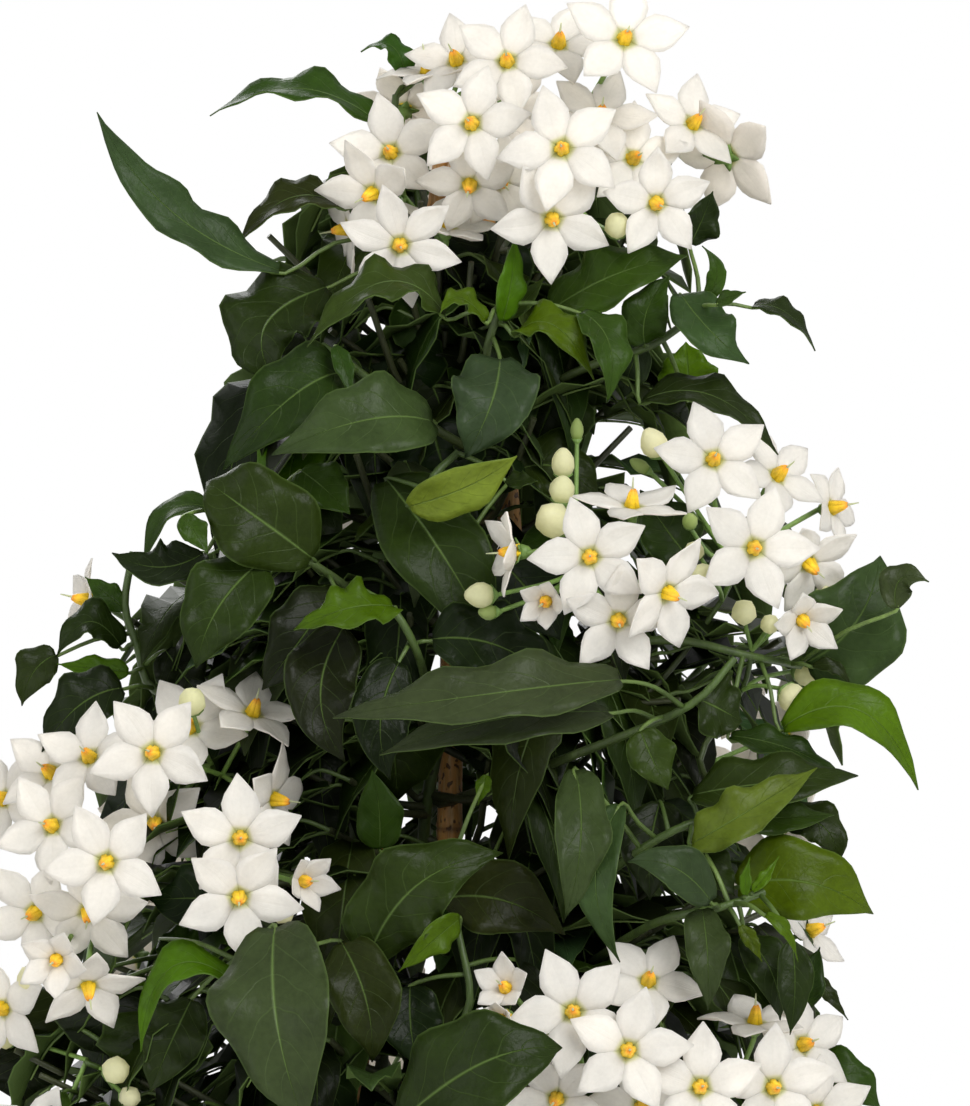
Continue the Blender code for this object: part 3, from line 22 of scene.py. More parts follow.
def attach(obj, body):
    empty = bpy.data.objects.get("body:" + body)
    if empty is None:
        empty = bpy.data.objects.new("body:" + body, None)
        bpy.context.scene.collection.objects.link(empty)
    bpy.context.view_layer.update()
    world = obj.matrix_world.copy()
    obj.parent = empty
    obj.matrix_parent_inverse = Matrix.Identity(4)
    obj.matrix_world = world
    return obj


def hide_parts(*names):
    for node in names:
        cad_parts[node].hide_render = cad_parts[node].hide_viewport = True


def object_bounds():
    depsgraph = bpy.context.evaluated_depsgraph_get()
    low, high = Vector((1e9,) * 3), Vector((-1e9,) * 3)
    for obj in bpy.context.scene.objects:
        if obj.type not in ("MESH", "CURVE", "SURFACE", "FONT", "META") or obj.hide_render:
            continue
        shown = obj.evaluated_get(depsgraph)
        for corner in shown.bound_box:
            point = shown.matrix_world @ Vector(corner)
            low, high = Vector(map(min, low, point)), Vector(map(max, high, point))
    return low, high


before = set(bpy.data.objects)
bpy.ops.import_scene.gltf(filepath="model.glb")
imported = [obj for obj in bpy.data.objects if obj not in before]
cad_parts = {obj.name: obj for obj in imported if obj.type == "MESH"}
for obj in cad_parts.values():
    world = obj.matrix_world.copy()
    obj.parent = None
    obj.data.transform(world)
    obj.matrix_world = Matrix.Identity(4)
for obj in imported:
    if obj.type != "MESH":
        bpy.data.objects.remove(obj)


def box_numbers() -> list[list[float]]:
    """Return the shown object's lowest and highest corner as plain numbers."""
    return [[float(number) for number in corner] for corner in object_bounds()]


PACKED_BOX = box_numbers()

MM = 0.001
GAP = 0.3 * MM

PIXEL = 0.25 * MM
PHOTO_SIZE = (970, 1106)
PHOTO_MIDDLE = (485, 553)
AXIS_ACROSS = 445
MIDDLE_HEIGHT = 363 * MM
EYE_DISTANCE = 1.6
EYE_RISE = math.radians(5)
RIGHT = Vector((1, 0, 0))
UP = Vector((0, math.sin(EYE_RISE), math.cos(EYE_RISE)))
TO_EYE = Vector((0, -math.cos(EYE_RISE), math.sin(EYE_RISE)))
LOOKED_AT = Vector(((PHOTO_MIDDLE[0] - AXIS_ACROSS) * PIXEL, 0, MIDDLE_HEIGHT))
VERTICAL = Vector((0, 0, 1))

CANE_FOOT = 20 * MM
CANE_TOP = 466 * MM
CANE_FEET = ((-3, -52), (46, 24), (-43, 27))
TIE_HEIGHT = 456 * MM
TIE_CENTRE = (4, 0)
TIE_SPREAD = 5.4 * MM
MAIN_STEM_RADIUS = 1.7 * MM
MAIN_STEM_TOP = 408 * MM
MAIN_STEM_FOOT = 104 * MM
TWINE_RADIUS = 6.4 * MM
TWINE_TURNS = 2.4
TWINE_STEPS = 13
STEM_SIDES = 4
STALK_SIDES = 3
SHOOT_RADIUS = 1.4 * MM
STALK_RADIUS = 0.95 * MM
PETIOLE_RADIUS = 0.62 * MM
PEDICEL_RADIUS = 0.5 * MM

CROWN = ((0.10, 84), (0.14, 104), (0.20, 114), (0.28, 110), (0.34, 100), (0.39, 78), (0.44, 64), (0.50, 50))
CROWN_DEPTH = 0.88
SEED = 11
ROUTE_REACHES = (0, 4, 8, 12, 16, 20, 25, 30)
ROUTE_DIRECTIONS = 12
SHIFTS = (0, 3, -3, 6, -6, 9, -9, 12, -12, 16, -16, 20, -20, 25, -25)
TURNS = (0, 7, -7, 14, -14, 21, -21, 28, -28)
PROBE_SHARES = (0.3, 0.42, 0.5, 0.68, 0.78)
PETAL_NOTCH = 0.36
SKIRT_SHOOTS = 5
SKIRT_FIRST = 198
SKIRT_LAST = 330
SKIRT_HEIGHTS = (0.168, 0.198)
SKIRT_LEAVES = 6
BACK_SHOOTS = 10
BACK_FIRST = 12
BACK_LAST = 168
BACK_LOW = 0.155
BACK_HIGH = 0.455
BACK_LEAVES = 7
SHOOT_RISE = 30 * MM
SHOOT_INNER = 0.42
SHOOT_END = 0.74
BACK_SPRAYS = ((70, 0.455, 6), (108, 0.39, 6), (42, 0.30, 6), (95, 0.235, 6), (138, 0.27, 5))
LEAF_SHRINKS = (1, 0.8)


class LeafTone(Enum):
    """How a leaf looks: its colour, by the letter that the tables give it. Some tones paint light: s is painted shade,
    near-black for leaves that lie in shadow; g is a painted grey-green sheen; b is a bright green, partly young
    leaves' own colour and partly painted light shining through backlit leaves.
    """

    # painted shade: near-black, for leaves that lie in shadow
    PAINTED_SHADE = "s"
    DARK = "d"
    # bright green: partly young leaves' own colour, partly painted light shining through backlit leaves
    MID = "m"
    BRIGHT_AND_PAINTED_BACKLIGHT = "b"
    # painted sheen: the grey-green of glossy leaves that reflect their bright surroundings
    PAINTED_SHEEN = "g"
    UNDERSIDE = "u"
    OLIVE = "o"


LEAF_COLOURS = {
    # painted shade: near-black, the darkness of leaves in shadow
    LeafTone.PAINTED_SHADE: (0.008, 0.014, 0.003),
    LeafTone.DARK: (0.017, 0.030, 0.004),
    LeafTone.MID: (0.027, 0.056, 0.005),
    # bright green: partly young leaves' own colour, partly painted light shining through backlit leaves
    LeafTone.BRIGHT_AND_PAINTED_BACKLIGHT: (0.058, 0.118, 0.002),
    # painted sheen: the grey-green of glossy leaves that reflect their bright surroundings
    LeafTone.PAINTED_SHEEN: (0.034, 0.056, 0.017),
    LeafTone.UNDERSIDE: (0.20, 0.26, 0.026),
    LeafTone.OLIVE: (0.085, 0.13, 0.012),
}


@dataclass(frozen=True)
class Leaf:
    """A leaf listed from base to tip, each (across, down, mm in front).

    Width and fold are in millimetres and degrees, and face says which way it faces as
    (right, up, to the eye).
    """

    base: tuple[float, float, float]
    tip: tuple[float, float, float]
    width: float
    mid: tuple[float, ...] = ()
    face: tuple[float, float, float] = (0, 0.5, 1)
    fold: float = 14


@dataclass(frozen=True)
class Flower:
    """A flower listed by its middle and one petal's tip, with its turn in degrees and size in mm."""

    middle: tuple[float, float, float]
    tip: tuple[float, float]
    yaw: float = 0
    pitch: float = 0
    size: float = 30
    opening: float = 84
    petals: int = 5


@dataclass(frozen=True)
class Bud:
    """A bud listed by its middle, with its diameter and length in mm and the way it leans."""

    middle: tuple[float, float, float]
    width: float = 6.5
    length: float = 8.5
    lean: tuple[float, float, float] = (0, 0.6, 0.8)


SHOOTS = {
    "shoot_top_left": (
        ((452, 330, 8), (410, 268, 18), (388, 190, 20), (396, 95, 16)),
        (
            Leaf((384, 128, 20), (210, 116, 15), 14, (300, 86, 24), (0, 1.6, 1)),
            Leaf((406, 82, 17), (361, 52, 15), 8, (392, 46, 18), (0, 1.5, 1)),
            Leaf((431, 78, 14), (434, 45, 14), 5),
            Leaf((284, 272, 32), (97, 112, 45), 14, (170, 212, 40), (-0.6, 1, 1)),
            Leaf((345, 208, 28), (237, 246, 30), 13, (290, 200, 34), (0, 1.2, 1)),
            Leaf((362, 234, 36), (273, 285, 40), 14, (318, 243, 42), (0, 0.6, 1)),
            Leaf((330, 286, 30), (279, 388, 40), 24, (262, 325, 40), (-0.4, 0.3, 1)),
        ),
    ),
    "shoot_top_middle": (
        ((468, 420, 14), (486, 360, 40), (500, 305, 46), (511, 250, 44)),
        (
            Leaf((447, 318, 50), (307, 347, 58), 15, (385, 285, 58), (0, 1.2, 1)),
            Leaf((487, 322, 50), (440, 314, 56), 7, (460, 299, 54), (0, 1, 1)),
            Leaf((502, 322, 52), (515, 235, 50), 8, (510, 280, 54), (0.6, 0, 1)),
            Leaf((508, 318, 50), (545, 276, 52), 5),
            Leaf((515, 335, 52), (594, 380, 62), 12, (555, 325, 62), (0, 1, 1)),
            Leaf((580, 312, 46), (607, 402, 54), 12, (610, 345, 54), (0.5, 0.4, 1)),
            Leaf((500, 358, 54), (465, 458, 64), 21, (490, 405, 66), (0, 0.3, 1)),
        ),
    ),
    "shoot_top_right": (
        ((520, 400, 16), (590, 366, 34), (650, 346, 40), (700, 312, 36)),
        (
            Leaf((545, 314, 36), (687, 256, 42), 18, (615, 278, 48), (0, 0.6, 1)),
            Leaf((690, 245, 24), (713, 191, 28), 10, (), (0.3, 0, 1)),
            Leaf((645, 345, 42), (670, 276, 42), 12, (648, 310, 46)), Leaf((642, 345, 32), (622, 400, 28), 10),
            Leaf((680, 293, 46), (749, 364, 54), 14, (708, 334, 56), (0, 0.6, 1)),
            Leaf((752, 306, 38), (815, 351, 38), 8, (788, 313, 42), (0, 1.5, 1)),
            Leaf((705, 302, 40), (702, 246, 42), 5, (716, 272, 42)), Leaf((716, 304, 40), (746, 292, 42), 4),
            Leaf((687, 400, 28), (686, 342, 26), 15),
            Leaf((640, 402, 46), (778, 455, 54), 13, (712, 398, 54), (0, 1.2, 1)),
        ),
    ),
    "shoot_shoulder_left": (
        ((452, 450, 16), (428, 424, 44), (360, 372, 40), (322, 345, 36)),
        (
            Leaf((435, 423, 56), (272, 455, 64), 22, (365, 418, 70), (0, 0.5, 1)),
            Leaf((345, 372, 46), (223, 470, 50), 21, (288, 395, 54), (0, 0.5, 1)),
            Leaf((335, 345, 48), (352, 398, 52), 5), Leaf((330, 352, 40), (345, 440, 40), 16, (), (0.2, 0, 1)),
        ),
    ),
    "shoot_middle": (
        ((455, 600, 18), (446, 540, 50), (430, 485, 58), (458, 452, 56)),
        (
            Leaf((407, 507, 64), (517, 456, 74), 13, (465, 482, 72), (0, -0.4, 1)),
            Leaf((506, 480, 60), (538, 481, 64), 5),
            Leaf((385, 478, 58), (500, 657, 70), 24, (440, 562, 74), (0, 0.2, 1)),
            Leaf((520, 470, 48), (600, 500, 46), 18, (560, 470, 48)), Leaf((500, 560, 44), (560, 640, 46), 20),
        ),
    ),
    "shoot_left_upper": (
        ((420, 620, 20), (330, 575, 52), (265, 535, 58), (222, 512, 52)),
        (
            Leaf((315, 560, 62), (207, 482, 62), 25, (250, 506, 68), (0, 0.2, 1)),
            Leaf((300, 470, 50), (350, 514, 56), 13),
            Leaf((218, 512, 50), (143, 568, 48), 9, (168, 510, 52), (0, 1.5, 1)),
            Leaf((182, 516, 48), (208, 553, 50), 7),
            Leaf((205, 552, 58), (112, 553, 58), 14, (160, 570, 62), (0, 0.8, 1)),
            Leaf((262, 560, 64), (196, 668, 70), 20, (222, 612, 72), (0, 0.2, 1)),
            Leaf((335, 590, 60), (262, 690, 66), 18, (300, 640, 68), (0, 0.2, 1)),
        ),
    ),
    "shoot_far_left": (
        ((410, 740, 16), (230, 712, 34), (155, 690, 34), (138, 648, 30), (125, 605, 26), (133, 552, 24)),
        (
            Leaf((125, 610, 26), (85, 577, 24), 7),
            Leaf((122, 648, 30), (57, 656, 32), 12, (88, 620, 34), (0, 1, 1)),
            Leaf((57, 655, 30), (22, 706, 30), 11, (34, 672, 32)), Leaf((130, 672, 34), (57, 664, 34), 7),
            Leaf((124, 688, 36), (42, 752, 38), 16, (78, 704, 40)), Leaf((165, 650, 36), (205, 700, 38), 14),
        ),
    ),
    "shoot_centre": (
        ((448, 720, 18), (420, 660, 62), (395, 612, 70), (362, 590, 66)),
        (
            Leaf((395, 607, 76), (294, 630, 82), 14, (350, 610, 86), (0, 0.8, 1)),
            Leaf((345, 625, 62), (345, 762, 74), 18, (318, 695, 74), (0, 0.2, 1)),
            Leaf((400, 660, 70), (390, 780, 76), 16, (380, 720, 76), (0.2, 0.2, 1)),
            Leaf((430, 640, 66), (560, 690, 64), 20, (500, 645, 68), (0, 0.4, 1)),
        ),
    ),
    "shoot_long_right": (
        ((470, 780, 18), (600, 745, 60), (690, 705, 74), (735, 658, 74)),
        (
            Leaf((625, 680, 90), (333, 718, 98), 18, (480, 684, 108), (0, 0.7, 1)),
            Leaf((612, 712, 84), (380, 755, 92), 16, (500, 726, 100), (0, 0.7, 1)),
            Leaf((640, 730, 78), (668, 790, 80), 12), Leaf((700, 700, 70), (742, 722, 66), 18),
        ),
    ),
    "shoot_right_upper": (
        ((500, 660, 18), (660, 640, 52), (745, 655, 58), (800, 666, 42)),
        (
            Leaf((804, 664, 42), (880, 556, 40), 27, (856, 622, 48), (0.2, 0.2, 1)),
            Leaf((896, 610, 36), (929, 582, 36), 9, (902, 580, 36)),
            Leaf((812, 666, 44), (852, 690, 44), 4, (836, 668, 45)),
            Leaf((780, 730, 58), (918, 790, 52), 15, (860, 712, 62), (0, 0.8, 1)),
            Leaf((728, 736, 62), (845, 780, 60), 9, (790, 750, 64), (0, 1, 1)),
            Leaf((690, 560, 44), (640, 490, 44), 16), Leaf((700, 640, 56), (690, 560, 52), 14),
        ),
    ),
    "shoot_right_lower": (
        ((520, 900, 20), (640, 850, 66), (700, 820, 70), (742, 812, 62)),
        (
            Leaf((690, 796, 70), (858, 776, 66), 16, (775, 776, 76), (0, 0.8, 1)),
            Leaf((690, 845, 80), (817, 768, 76), 13, (750, 812, 86), (0, 0.5, 1)),
            Leaf((720, 818, 66), (834, 815, 62), 10, (780, 820, 68)),
            Leaf((776, 820, 58), (835, 872, 58), 11, (822, 830, 60)),
            Leaf((622, 803, 82), (620, 962, 88), 11, (601, 880, 92), (-0.3, 0, 1)),
            Leaf((575, 768, 76), (565, 918, 86), 14, (582, 842, 90), (0.2, 0, 1)),
            Leaf((660, 800, 60), (650, 900, 64), 16),
        ),
    ),
    "shoot_right_young": (
        ((560, 980, 20), (650, 925, 74), (718, 908, 84), (764, 892, 80)),
        (
            Leaf((735, 887, 62), (873, 914, 58), 21, (808, 878, 68), (0, 0.3, 1)),
            Leaf((712, 903, 90), (628, 862, 96), 12, (675, 866, 98), (0, 0.4, 1)),
            Leaf((703, 848, 78), (735, 896, 82), 9), Leaf((702, 908, 84), (708, 1010, 92), 11, (703, 955, 94)),
            Leaf((745, 935, 80), (780, 1020, 82), 11, (768, 975, 86)), Leaf((792, 940, 66), (790, 1035, 68), 9),
            Leaf((811, 972, 50), (848, 1020, 50), 4), Leaf((745, 896, 88), (750, 857, 88), 3),
            Leaf((752, 892, 86), (779, 856, 84), 3), Leaf((765, 915, 84), (798, 962, 82), 3.5, (785, 930, 86)),
            Leaf((740, 925, 84), (762, 962, 84), 4),
        ),
    ),
    "shoot_middle_low": (
        ((445, 980, 18), (425, 930, 60), (405, 890, 68), (450, 870, 66)),
        (
            Leaf((368, 962, 78), (503, 853, 82), 22, (412, 880, 86), (0, 0.3, 1)),
            Leaf((440, 900, 68), (565, 935, 70), 20, (505, 895, 72), (0, 0.3, 1)),
            Leaf((487, 775, 62), (478, 805, 64), 4), Leaf((380, 850, 50), (372, 770, 52), 12),
            Leaf((520, 800, 44), (540, 900, 46), 20), Leaf((360, 880, 46), (330, 960, 50), 18),
        ),
    ),
    "shoot_low_left": (
        ((400, 1030, 18), (310, 975, 62), (262, 940, 76), (235, 960, 76)),
        (
            Leaf((243, 990, 84), (141, 1052, 84), 11, (175, 970, 88), (0, 1.2, 1)),
            Leaf((275, 925, 94), (305, 1125, 106), 29, (280, 1020, 110), (-0.2, 0.1, 1)),
            Leaf((160, 938, 58), (208, 960, 60), 12), Leaf((192, 998, 68), (150, 1092, 72), 16),
            Leaf((340, 940, 76), (372, 1062, 80), 18, (366, 1000, 84), (0, 0.2, 1)),
            Leaf((230, 900, 62), (150, 900, 56), 18),
        ),
    ),
    "shoot_low_middle": (
        ((445, 1110, 18), (450, 1060, 70), (470, 1000, 76), (458, 930, 74)),
        (
            Leaf((400, 1122, 98), (562, 1048, 106), 26, (488, 1070, 112), (0, 0.3, 1)),
            Leaf((460, 918, 84), (398, 972, 88), 8, (432, 938, 90), (0, -0.3, 1)),
            Leaf((410, 985, 70), (418, 1068, 74), 16), Leaf((520, 960, 60), (500, 1040, 62), 18),
        ),
    ),
    "shoot_low_right": (
        ((520, 1110, 18), (680, 1075, 56), (770, 1060, 58), (806, 1062, 52)),
        (
            Leaf((806, 1062, 58), (880, 1108, 60), 13, (850, 1078, 64)),
            Leaf((800, 1010, 54), (820, 947, 54), 9), Leaf((640, 960, 56), (660, 1030, 58), 14),
        ),
    ),
}

SPRAYS = {
    "spray_top_left": (
        ((428, 236, 16), (404, 196, 14), (388, 168, 12)),
        (
            Flower((400, 245, 52), (459, 263), 0, -8, 31, 84, 6), Flower((374, 193, 42), (337, 192), -35, -20),
            Flower((391, 153, 30), (437, 200), -10, 10), Flower((350, 228, 24), (324, 240), -75, -10, 27),
            Flower((405, 108, 20), (372, 108), -20, 120, 29), Flower((447, 228, 32), (500, 213), 30, 62, 28),
        ),
        (),
    ),
    "spray_top_middle": (
        ((456, 268, 12), (466, 206, 22), (466, 160, 25), (452, 98, 18)),
        (
            Flower((472, 124, 50), (435, 155), -8, 8), Flower((470, 184, 38), (452, 220), -5, -25, 27),
            Flower((500, 180, 34), (522, 212), 15, -20, 26), Flower((428, 74, 16), (400, 85), -20, 70, 26),
            Flower((457, 62, 24), (430, 55), -15, 30, 27), Flower((507, 62, 40), (460, 22), 0, 15),
            Flower((558, 46, 22), (535, 20), 10, 40, 28),
        ),
        (),
    ),
    "spray_top_centre": (
        ((505, 245, 30), (556, 175, 20), (572, 130, 14)),
        (
            Flower((562, 149, 60), (502, 153), 0, 5, 32), Flower((552, 219, 56), (492, 232), 8, -14, 31),
            Flower((600, 118, 32), (575, 92), 10, 35, 28), Flower((624, 40, 44), (562, 8), 12, 20, 33),
        ),
        (Bud((577, 190, 46), 6, 7), Bud((617, 225, 52), 6.5, 7.5)),
    ),
    "spray_top_right": (
        ((590, 300, 14), (664, 172, 12), (684, 145, 10)),
        (
            Flower((656, 203, 50), (697, 250), 10, -8, 28), Flower((632, 159, 32), (612, 182), 20, 10, 28),
            Flower((692, 125, 22), (697, 93), 25, 25, 28), Flower((728, 155, 20), (768, 158), 150, 25, 33, 100),
        ),
        (),
    ),
    "spray_right_inner": (
        ((560, 640, 30), (578, 570, 54), (575, 540, 56)),
        (
            Flower((590, 557, 92), (575, 502), 0, 0, 30), Flower((618, 620, 90), (578, 665), 5, -10, 28),
            Flower((666, 592, 94), (683, 530), 38, -18, 30), Flower((632, 508, 76), (575, 500), 12, 68, 29),
            Flower((548, 600, 82), (530, 612), -15, -10, 18, 42),
            Flower((518, 552, 78), (525, 590), -78, 0, 24, 66),
        ),
        (
            Bud((553, 520, 74), 9, 11, (-0.2, 0.3, 0.9)), Bud((563, 463, 64), 6, 8, (0, 0.9, 0.4)),
            Bud((562, 490, 68), 6.5, 7.5, (0.1, 0.9, 0.4)), Bud((480, 595, 74), 6.5, 8, (-1, 0, 0.3)),
            Bud((488, 612, 72), 4, 5, (-1, 0, 0.3)), Bud((577, 430, 52), 3.4, 6, (0, 1, 0.2)),
        ),
    ),
    "spray_right_outer": (
        ((640, 700, 34), (722, 600, 38), (730, 560, 36)),
        (
            Flower((713, 460, 62), (648, 455), 8, 12, 30), Flower((776, 477, 46), (810, 500), 35, 30, 27),
            Flower((754, 548, 74), (702, 583), 8, 0, 31), Flower((808, 563, 50), (830, 540), 30, -30, 27),
            Flower((830, 508, 28), (850, 510), 60, 10, 24),
        ),
        (
            Bud((654, 443, 58), 7, 8.5, (-0.5, 0.8, 0.4)), Bud((690, 521, 70), 4, 5),
            Bud((694, 551, 76), 5, 6, (-0.4, 0.3, 0.9)), Bud((702, 577, 80), 7, 7.5, (-0.3, 0, 1)),
            Bud((640, 466, 50), 3.4, 6, (-0.8, 0.5, 0.2)),
        ),
    ),
    "spray_right_low": (
        ((700, 760, 40), (742, 690, 44), (752, 650, 48)),
        (Flower((800, 618, 58), (790, 647), 22, -22, 22, 56),),
        (
            Bud((744, 612, 62), 6.5, 7.5, (0, 0.2, 1)), Bud((770, 624, 60), 5, 6, (0, 0.2, 1)),
            Bud((825, 594, 44), 4.5, 5.5, (0.8, 0.2, 0.5)), Bud((785, 665, 64), 7, 8, (0.7, -0.3, 0.6)),
            Bud((806, 675, 58), 5.5, 7, (0.9, -0.3, 0.4)), Bud((794, 699, 62), 7.5, 8.5, (0.7, -0.6, 0.5)),
        ),
    ),
    "spray_left_upper": (
        ((300, 770, 34), (222, 775, 44), (212, 765, 42)),
        (
            Flower((153, 753, 76), (120, 703), -8, 5, 31), Flower((191, 728, 54), (156, 679), -5, 25, 30),
            Flower((252, 715, 56), (212, 672), 30, 55, 30), Flower((272, 799, 66), (278, 736), 62, -8, 28),
            Flower((155, 823, 60), (205, 856), 0, -10, 29), Flower((90, 758, 58), (75, 780), -15, 25, 28),
        ),
        (Bud((192, 701, 66), 7, 8, (0, 0.6, 0.8)),),
    ),
    "spray_left_inner": (
        ((360, 900, 40), (262, 872, 60), (250, 868, 58)),
        (
            Flower((240, 838, 86), (242, 770), 5, 0, 31), Flower((239, 897, 90), (187, 922), 5, -12, 31),
            Flower((300, 881, 78), (319, 854), 35, 0, 19, 48),
        ),
        (Bud((283, 912, 76), 6, 7, (0.4, -0.4, 0.8)),),
    ),
    "spray_left_outer": (
        ((230, 900, 30), (100, 880, 44), (88, 878, 42)),
        (
            Flower((107, 862, 90), (152, 817), -8, -4, 31), Flower((52, 774, 46), (30, 790), -25, 25, 28),
            Flower((5, 800, 34), (20, 780), -30, 20, 28), Flower((53, 826, 58), (14, 843), -20, 10, 29),
            Flower((36, 912, 64), (10, 880), -22, -12, 29), Flower((89, 911, 74), (120, 958), -5, -28, 30),
            Flower((58, 958, 84), (40, 940), -10, -12, 22, 52), Flower((88, 984, 78), (140, 967), 8, -48, 28),
            Flower((4, 1008, 56), (20, 1000), -30, -10, 28),
        ),
        (Bud((29, 979, 62), 6.5, 7.5, (-0.2, -0.3, 0.9)),),
    ),
    "spray_low_left": (
        ((230, 1110, 34), (100, 1068, 60), (87, 1060, 60)),
        (Flower((40, 1140, 66), (10, 1120), -20, 0, 28), Flower((150, 1160, 74), (120, 1140), -10, -10, 28)),
        (
            Bud((116, 1070, 72), 7, 7.5, (0.4, 0.3, 0.9)), Bud((130, 1097, 72), 5.5, 6.5, (0.4, 0, 0.9)),
            Bud((4, 1036, 52), 6.5, 7.5, (-0.6, 0.2, 0.7)),
        ),
    ),
    "spray_low_middle": (
        ((480, 1170, 40), (580, 1090, 66), (585, 1080, 66)),
        (
            Flower((573, 1012, 98), (542, 941), 0, 8, 32), Flower((628, 1050, 102), (643, 983), 3, 2, 31),
            Flower((642, 1106, 96), (590, 1100), 0, -8, 30), Flower((648, 982, 84), (666, 951), 8, 30, 28),
            Flower((508, 990, 92), (487, 982), -20, 20, 20, 46),
            Flower((505, 1018, 98), (480, 1005), -24, -6, 17, 36),
            Flower((520, 1042, 86), (455, 1052), -12, -62, 32),
            Flower((557, 1098, 90), (545, 1075), -10, -12, 28),
        ),
        (Bud((489, 1036, 100), 7, 8, (-0.8, -0.2, 0.7)),),
    ),
    "spray_low_right": (
        ((600, 1180, 36), (720, 1100, 64), (735, 1085, 62)),
        (
            Flower((700, 1087, 98), (704, 1010), 5, 4, 31), Flower((773, 1087, 92), (769, 1021), 10, 0, 31),
            Flower((755, 1024, 72), (717, 1015), 12, 72, 28), Flower((802, 1045, 66), (798, 1005), 30, 12, 28),
            Flower((815, 1112, 72), (812, 1060), 25, -5, 29),
        ),
        (),
    ),
    "spray_right_edge": (
        ((640, 1010, 16), (770, 950, 24), (785, 945, 24)),
        (Flower((808, 932, 26), (835, 918), 60, 20, 24),),
        (),
    ),
    "spray_far_left": (
        ((160, 640, 8), (115, 612, 10), (112, 608, 10)),
        (Flower((90, 601, 12), (100, 570), -70, 10, 22, 75),),
        (),
    ),
}

# Each listed leaf's tone letter in turn: s is painted shade, g painted sheen, b partly painted light through backlit
# leaves
SHOOT_TONES = {
    "shoot_top_left": "mmmgdgd",
    "shoot_top_middle": "mbbmbmg",
    "shoot_top_right": "mdmggdmmbd",
    "shoot_shoulder_left": "gdmd",
    "shoot_middle": "uddds",
    "shoot_left_upper": "dmmmsds",
    "shoot_far_left": "mddbss",
    "shoot_centre": "bsss",
    "shoot_long_right": "ggmd",
    "shoot_right_upper": "ggdbdds",
    "shoot_right_lower": "domdggs",
    "shoot_right_young": "bgdgdddbbbb",
    "shoot_middle_low": "ddbmss",
    "shoot_low_left": "bgmdds",
    "shoot_low_middle": "dbss",
    "shoot_low_right": "mdd",
}
# The rule's leaves draw from these letters, among them painted shade (s), painted sheen (g) and partly painted
# backlight (b)
GROWN_TONES = "ddddmmggsb"


def seen(place: Sequence[float], shift: float = 0.0) -> Vector:
    """Find the point that the photograph shows at a place.

    Args:
        place: Pixels across and down, and millimetres in front of the canes' axis.
        shift: Millimetres to add to the last of them.

    Returns:
        The point in metres.
    """
    near = (place[2] + shift) * MM
    shrink = 1 - near / EYE_DISTANCE
    right = (place[0] - PHOTO_MIDDLE[0]) * PIXEL * shrink
    up = (PHOTO_MIDDLE[1] - place[1]) * PIXEL * shrink
    return LOOKED_AT + right * RIGHT + up * UP + near * TO_EYE


def pixel_of(point: Vector) -> tuple[float, float, float]:
    """Find where the photograph would show a point, and how far it stands in front of the axis.

    Args:
        point: A point in metres.

    Returns:
        Pixels across, pixels down and metres in front.
    """
    offset = point - LOOKED_AT
    near = offset.dot(TO_EYE)
    scale = PIXEL * (1 - near / EYE_DISTANCE)
    across = PHOTO_MIDDLE[0] + offset.dot(RIGHT) / scale
    return across, PHOTO_MIDDLE[1] - offset.dot(UP) / scale, near


def crown_radius(height: float) -> float:
    """Return how far the crown reaches at this height, in metres."""
    for (low, inner), (high, outer) in zip(CROWN, CROWN[1:]):
        if height <= high:
            share = max(height - low, 0) / (high - low)
            return (inner + (outer - inner) * share) * MM
    return CROWN[-1][1] * MM


def outward(azimuth: float) -> Vector:
    """Return the level direction at this azimuth in degrees, 0 at the right and 90 at the back."""
    angle = math.radians(azimuth)
    return Vector((math.cos(angle), CROWN_DEPTH * math.sin(angle), 0))


def turned_by(vector: Vector, axis: Vector, degrees: float) -> Vector:
    """Return a vector turned about an axis."""
    return Matrix.Rotation(math.radians(degrees), 3, axis) @ vector


def across_to(vector: Vector, axis: Vector) -> Vector:
    """Return the unit part of a vector that lies across an axis."""
    return (vector - vector.dot(axis) * axis).normalized()


def ring(centre: Vector, heading: Vector, towards: Vector, radius: float, sides: int) -> list[Vector]:
    """Lay points round a heading.

    Args:
        centre: The ring's centre.
        heading: The direction it is square to.
        towards: The side that its first point is on.
        radius: Its radius in metres.
        sides: How many points it has.

    Returns:
        The points.
    """
    first = across_to(towards, heading)
    second = heading.cross(first)
    angles = [math.tau * i / sides for i in range(sides)]
    return [centre + radius * (math.cos(a) * first + math.sin(a) * second) for a in angles]


def tube_corners(route: Sequence[Vector], radius: float, sides: int) -> list[Vector]:
    """Return the corners of a packed tube's first two rings."""
    headings = [(high - low).normalized() for low, high in zip(route, route[1:])]
    first = ring(route[0], headings[0], headings[0].orthogonal(), radius, sides)
    along = headings[0]
    plane = along + headings[min(1, len(headings) - 1)]
    return first + [one + (route[1] - one).dot(plane) / along.dot(plane) * along for one in first]


def nearest_on(route: Sequence[Vector], point: Vector) -> tuple[Vector, float]:
    """Return the nearest point to this one on a route, and its distance."""
    found: list[tuple[Vector, float]] = []
    for low, high in zip(route, route[1:]):
        along = high - low
        share = min(max((point - low).dot(along) / along.length_squared, 0.02), 0.98)
        at = low + share * along
        found.append((at, (at - point).length))
    return min(found, key=lambda pair: pair[1])


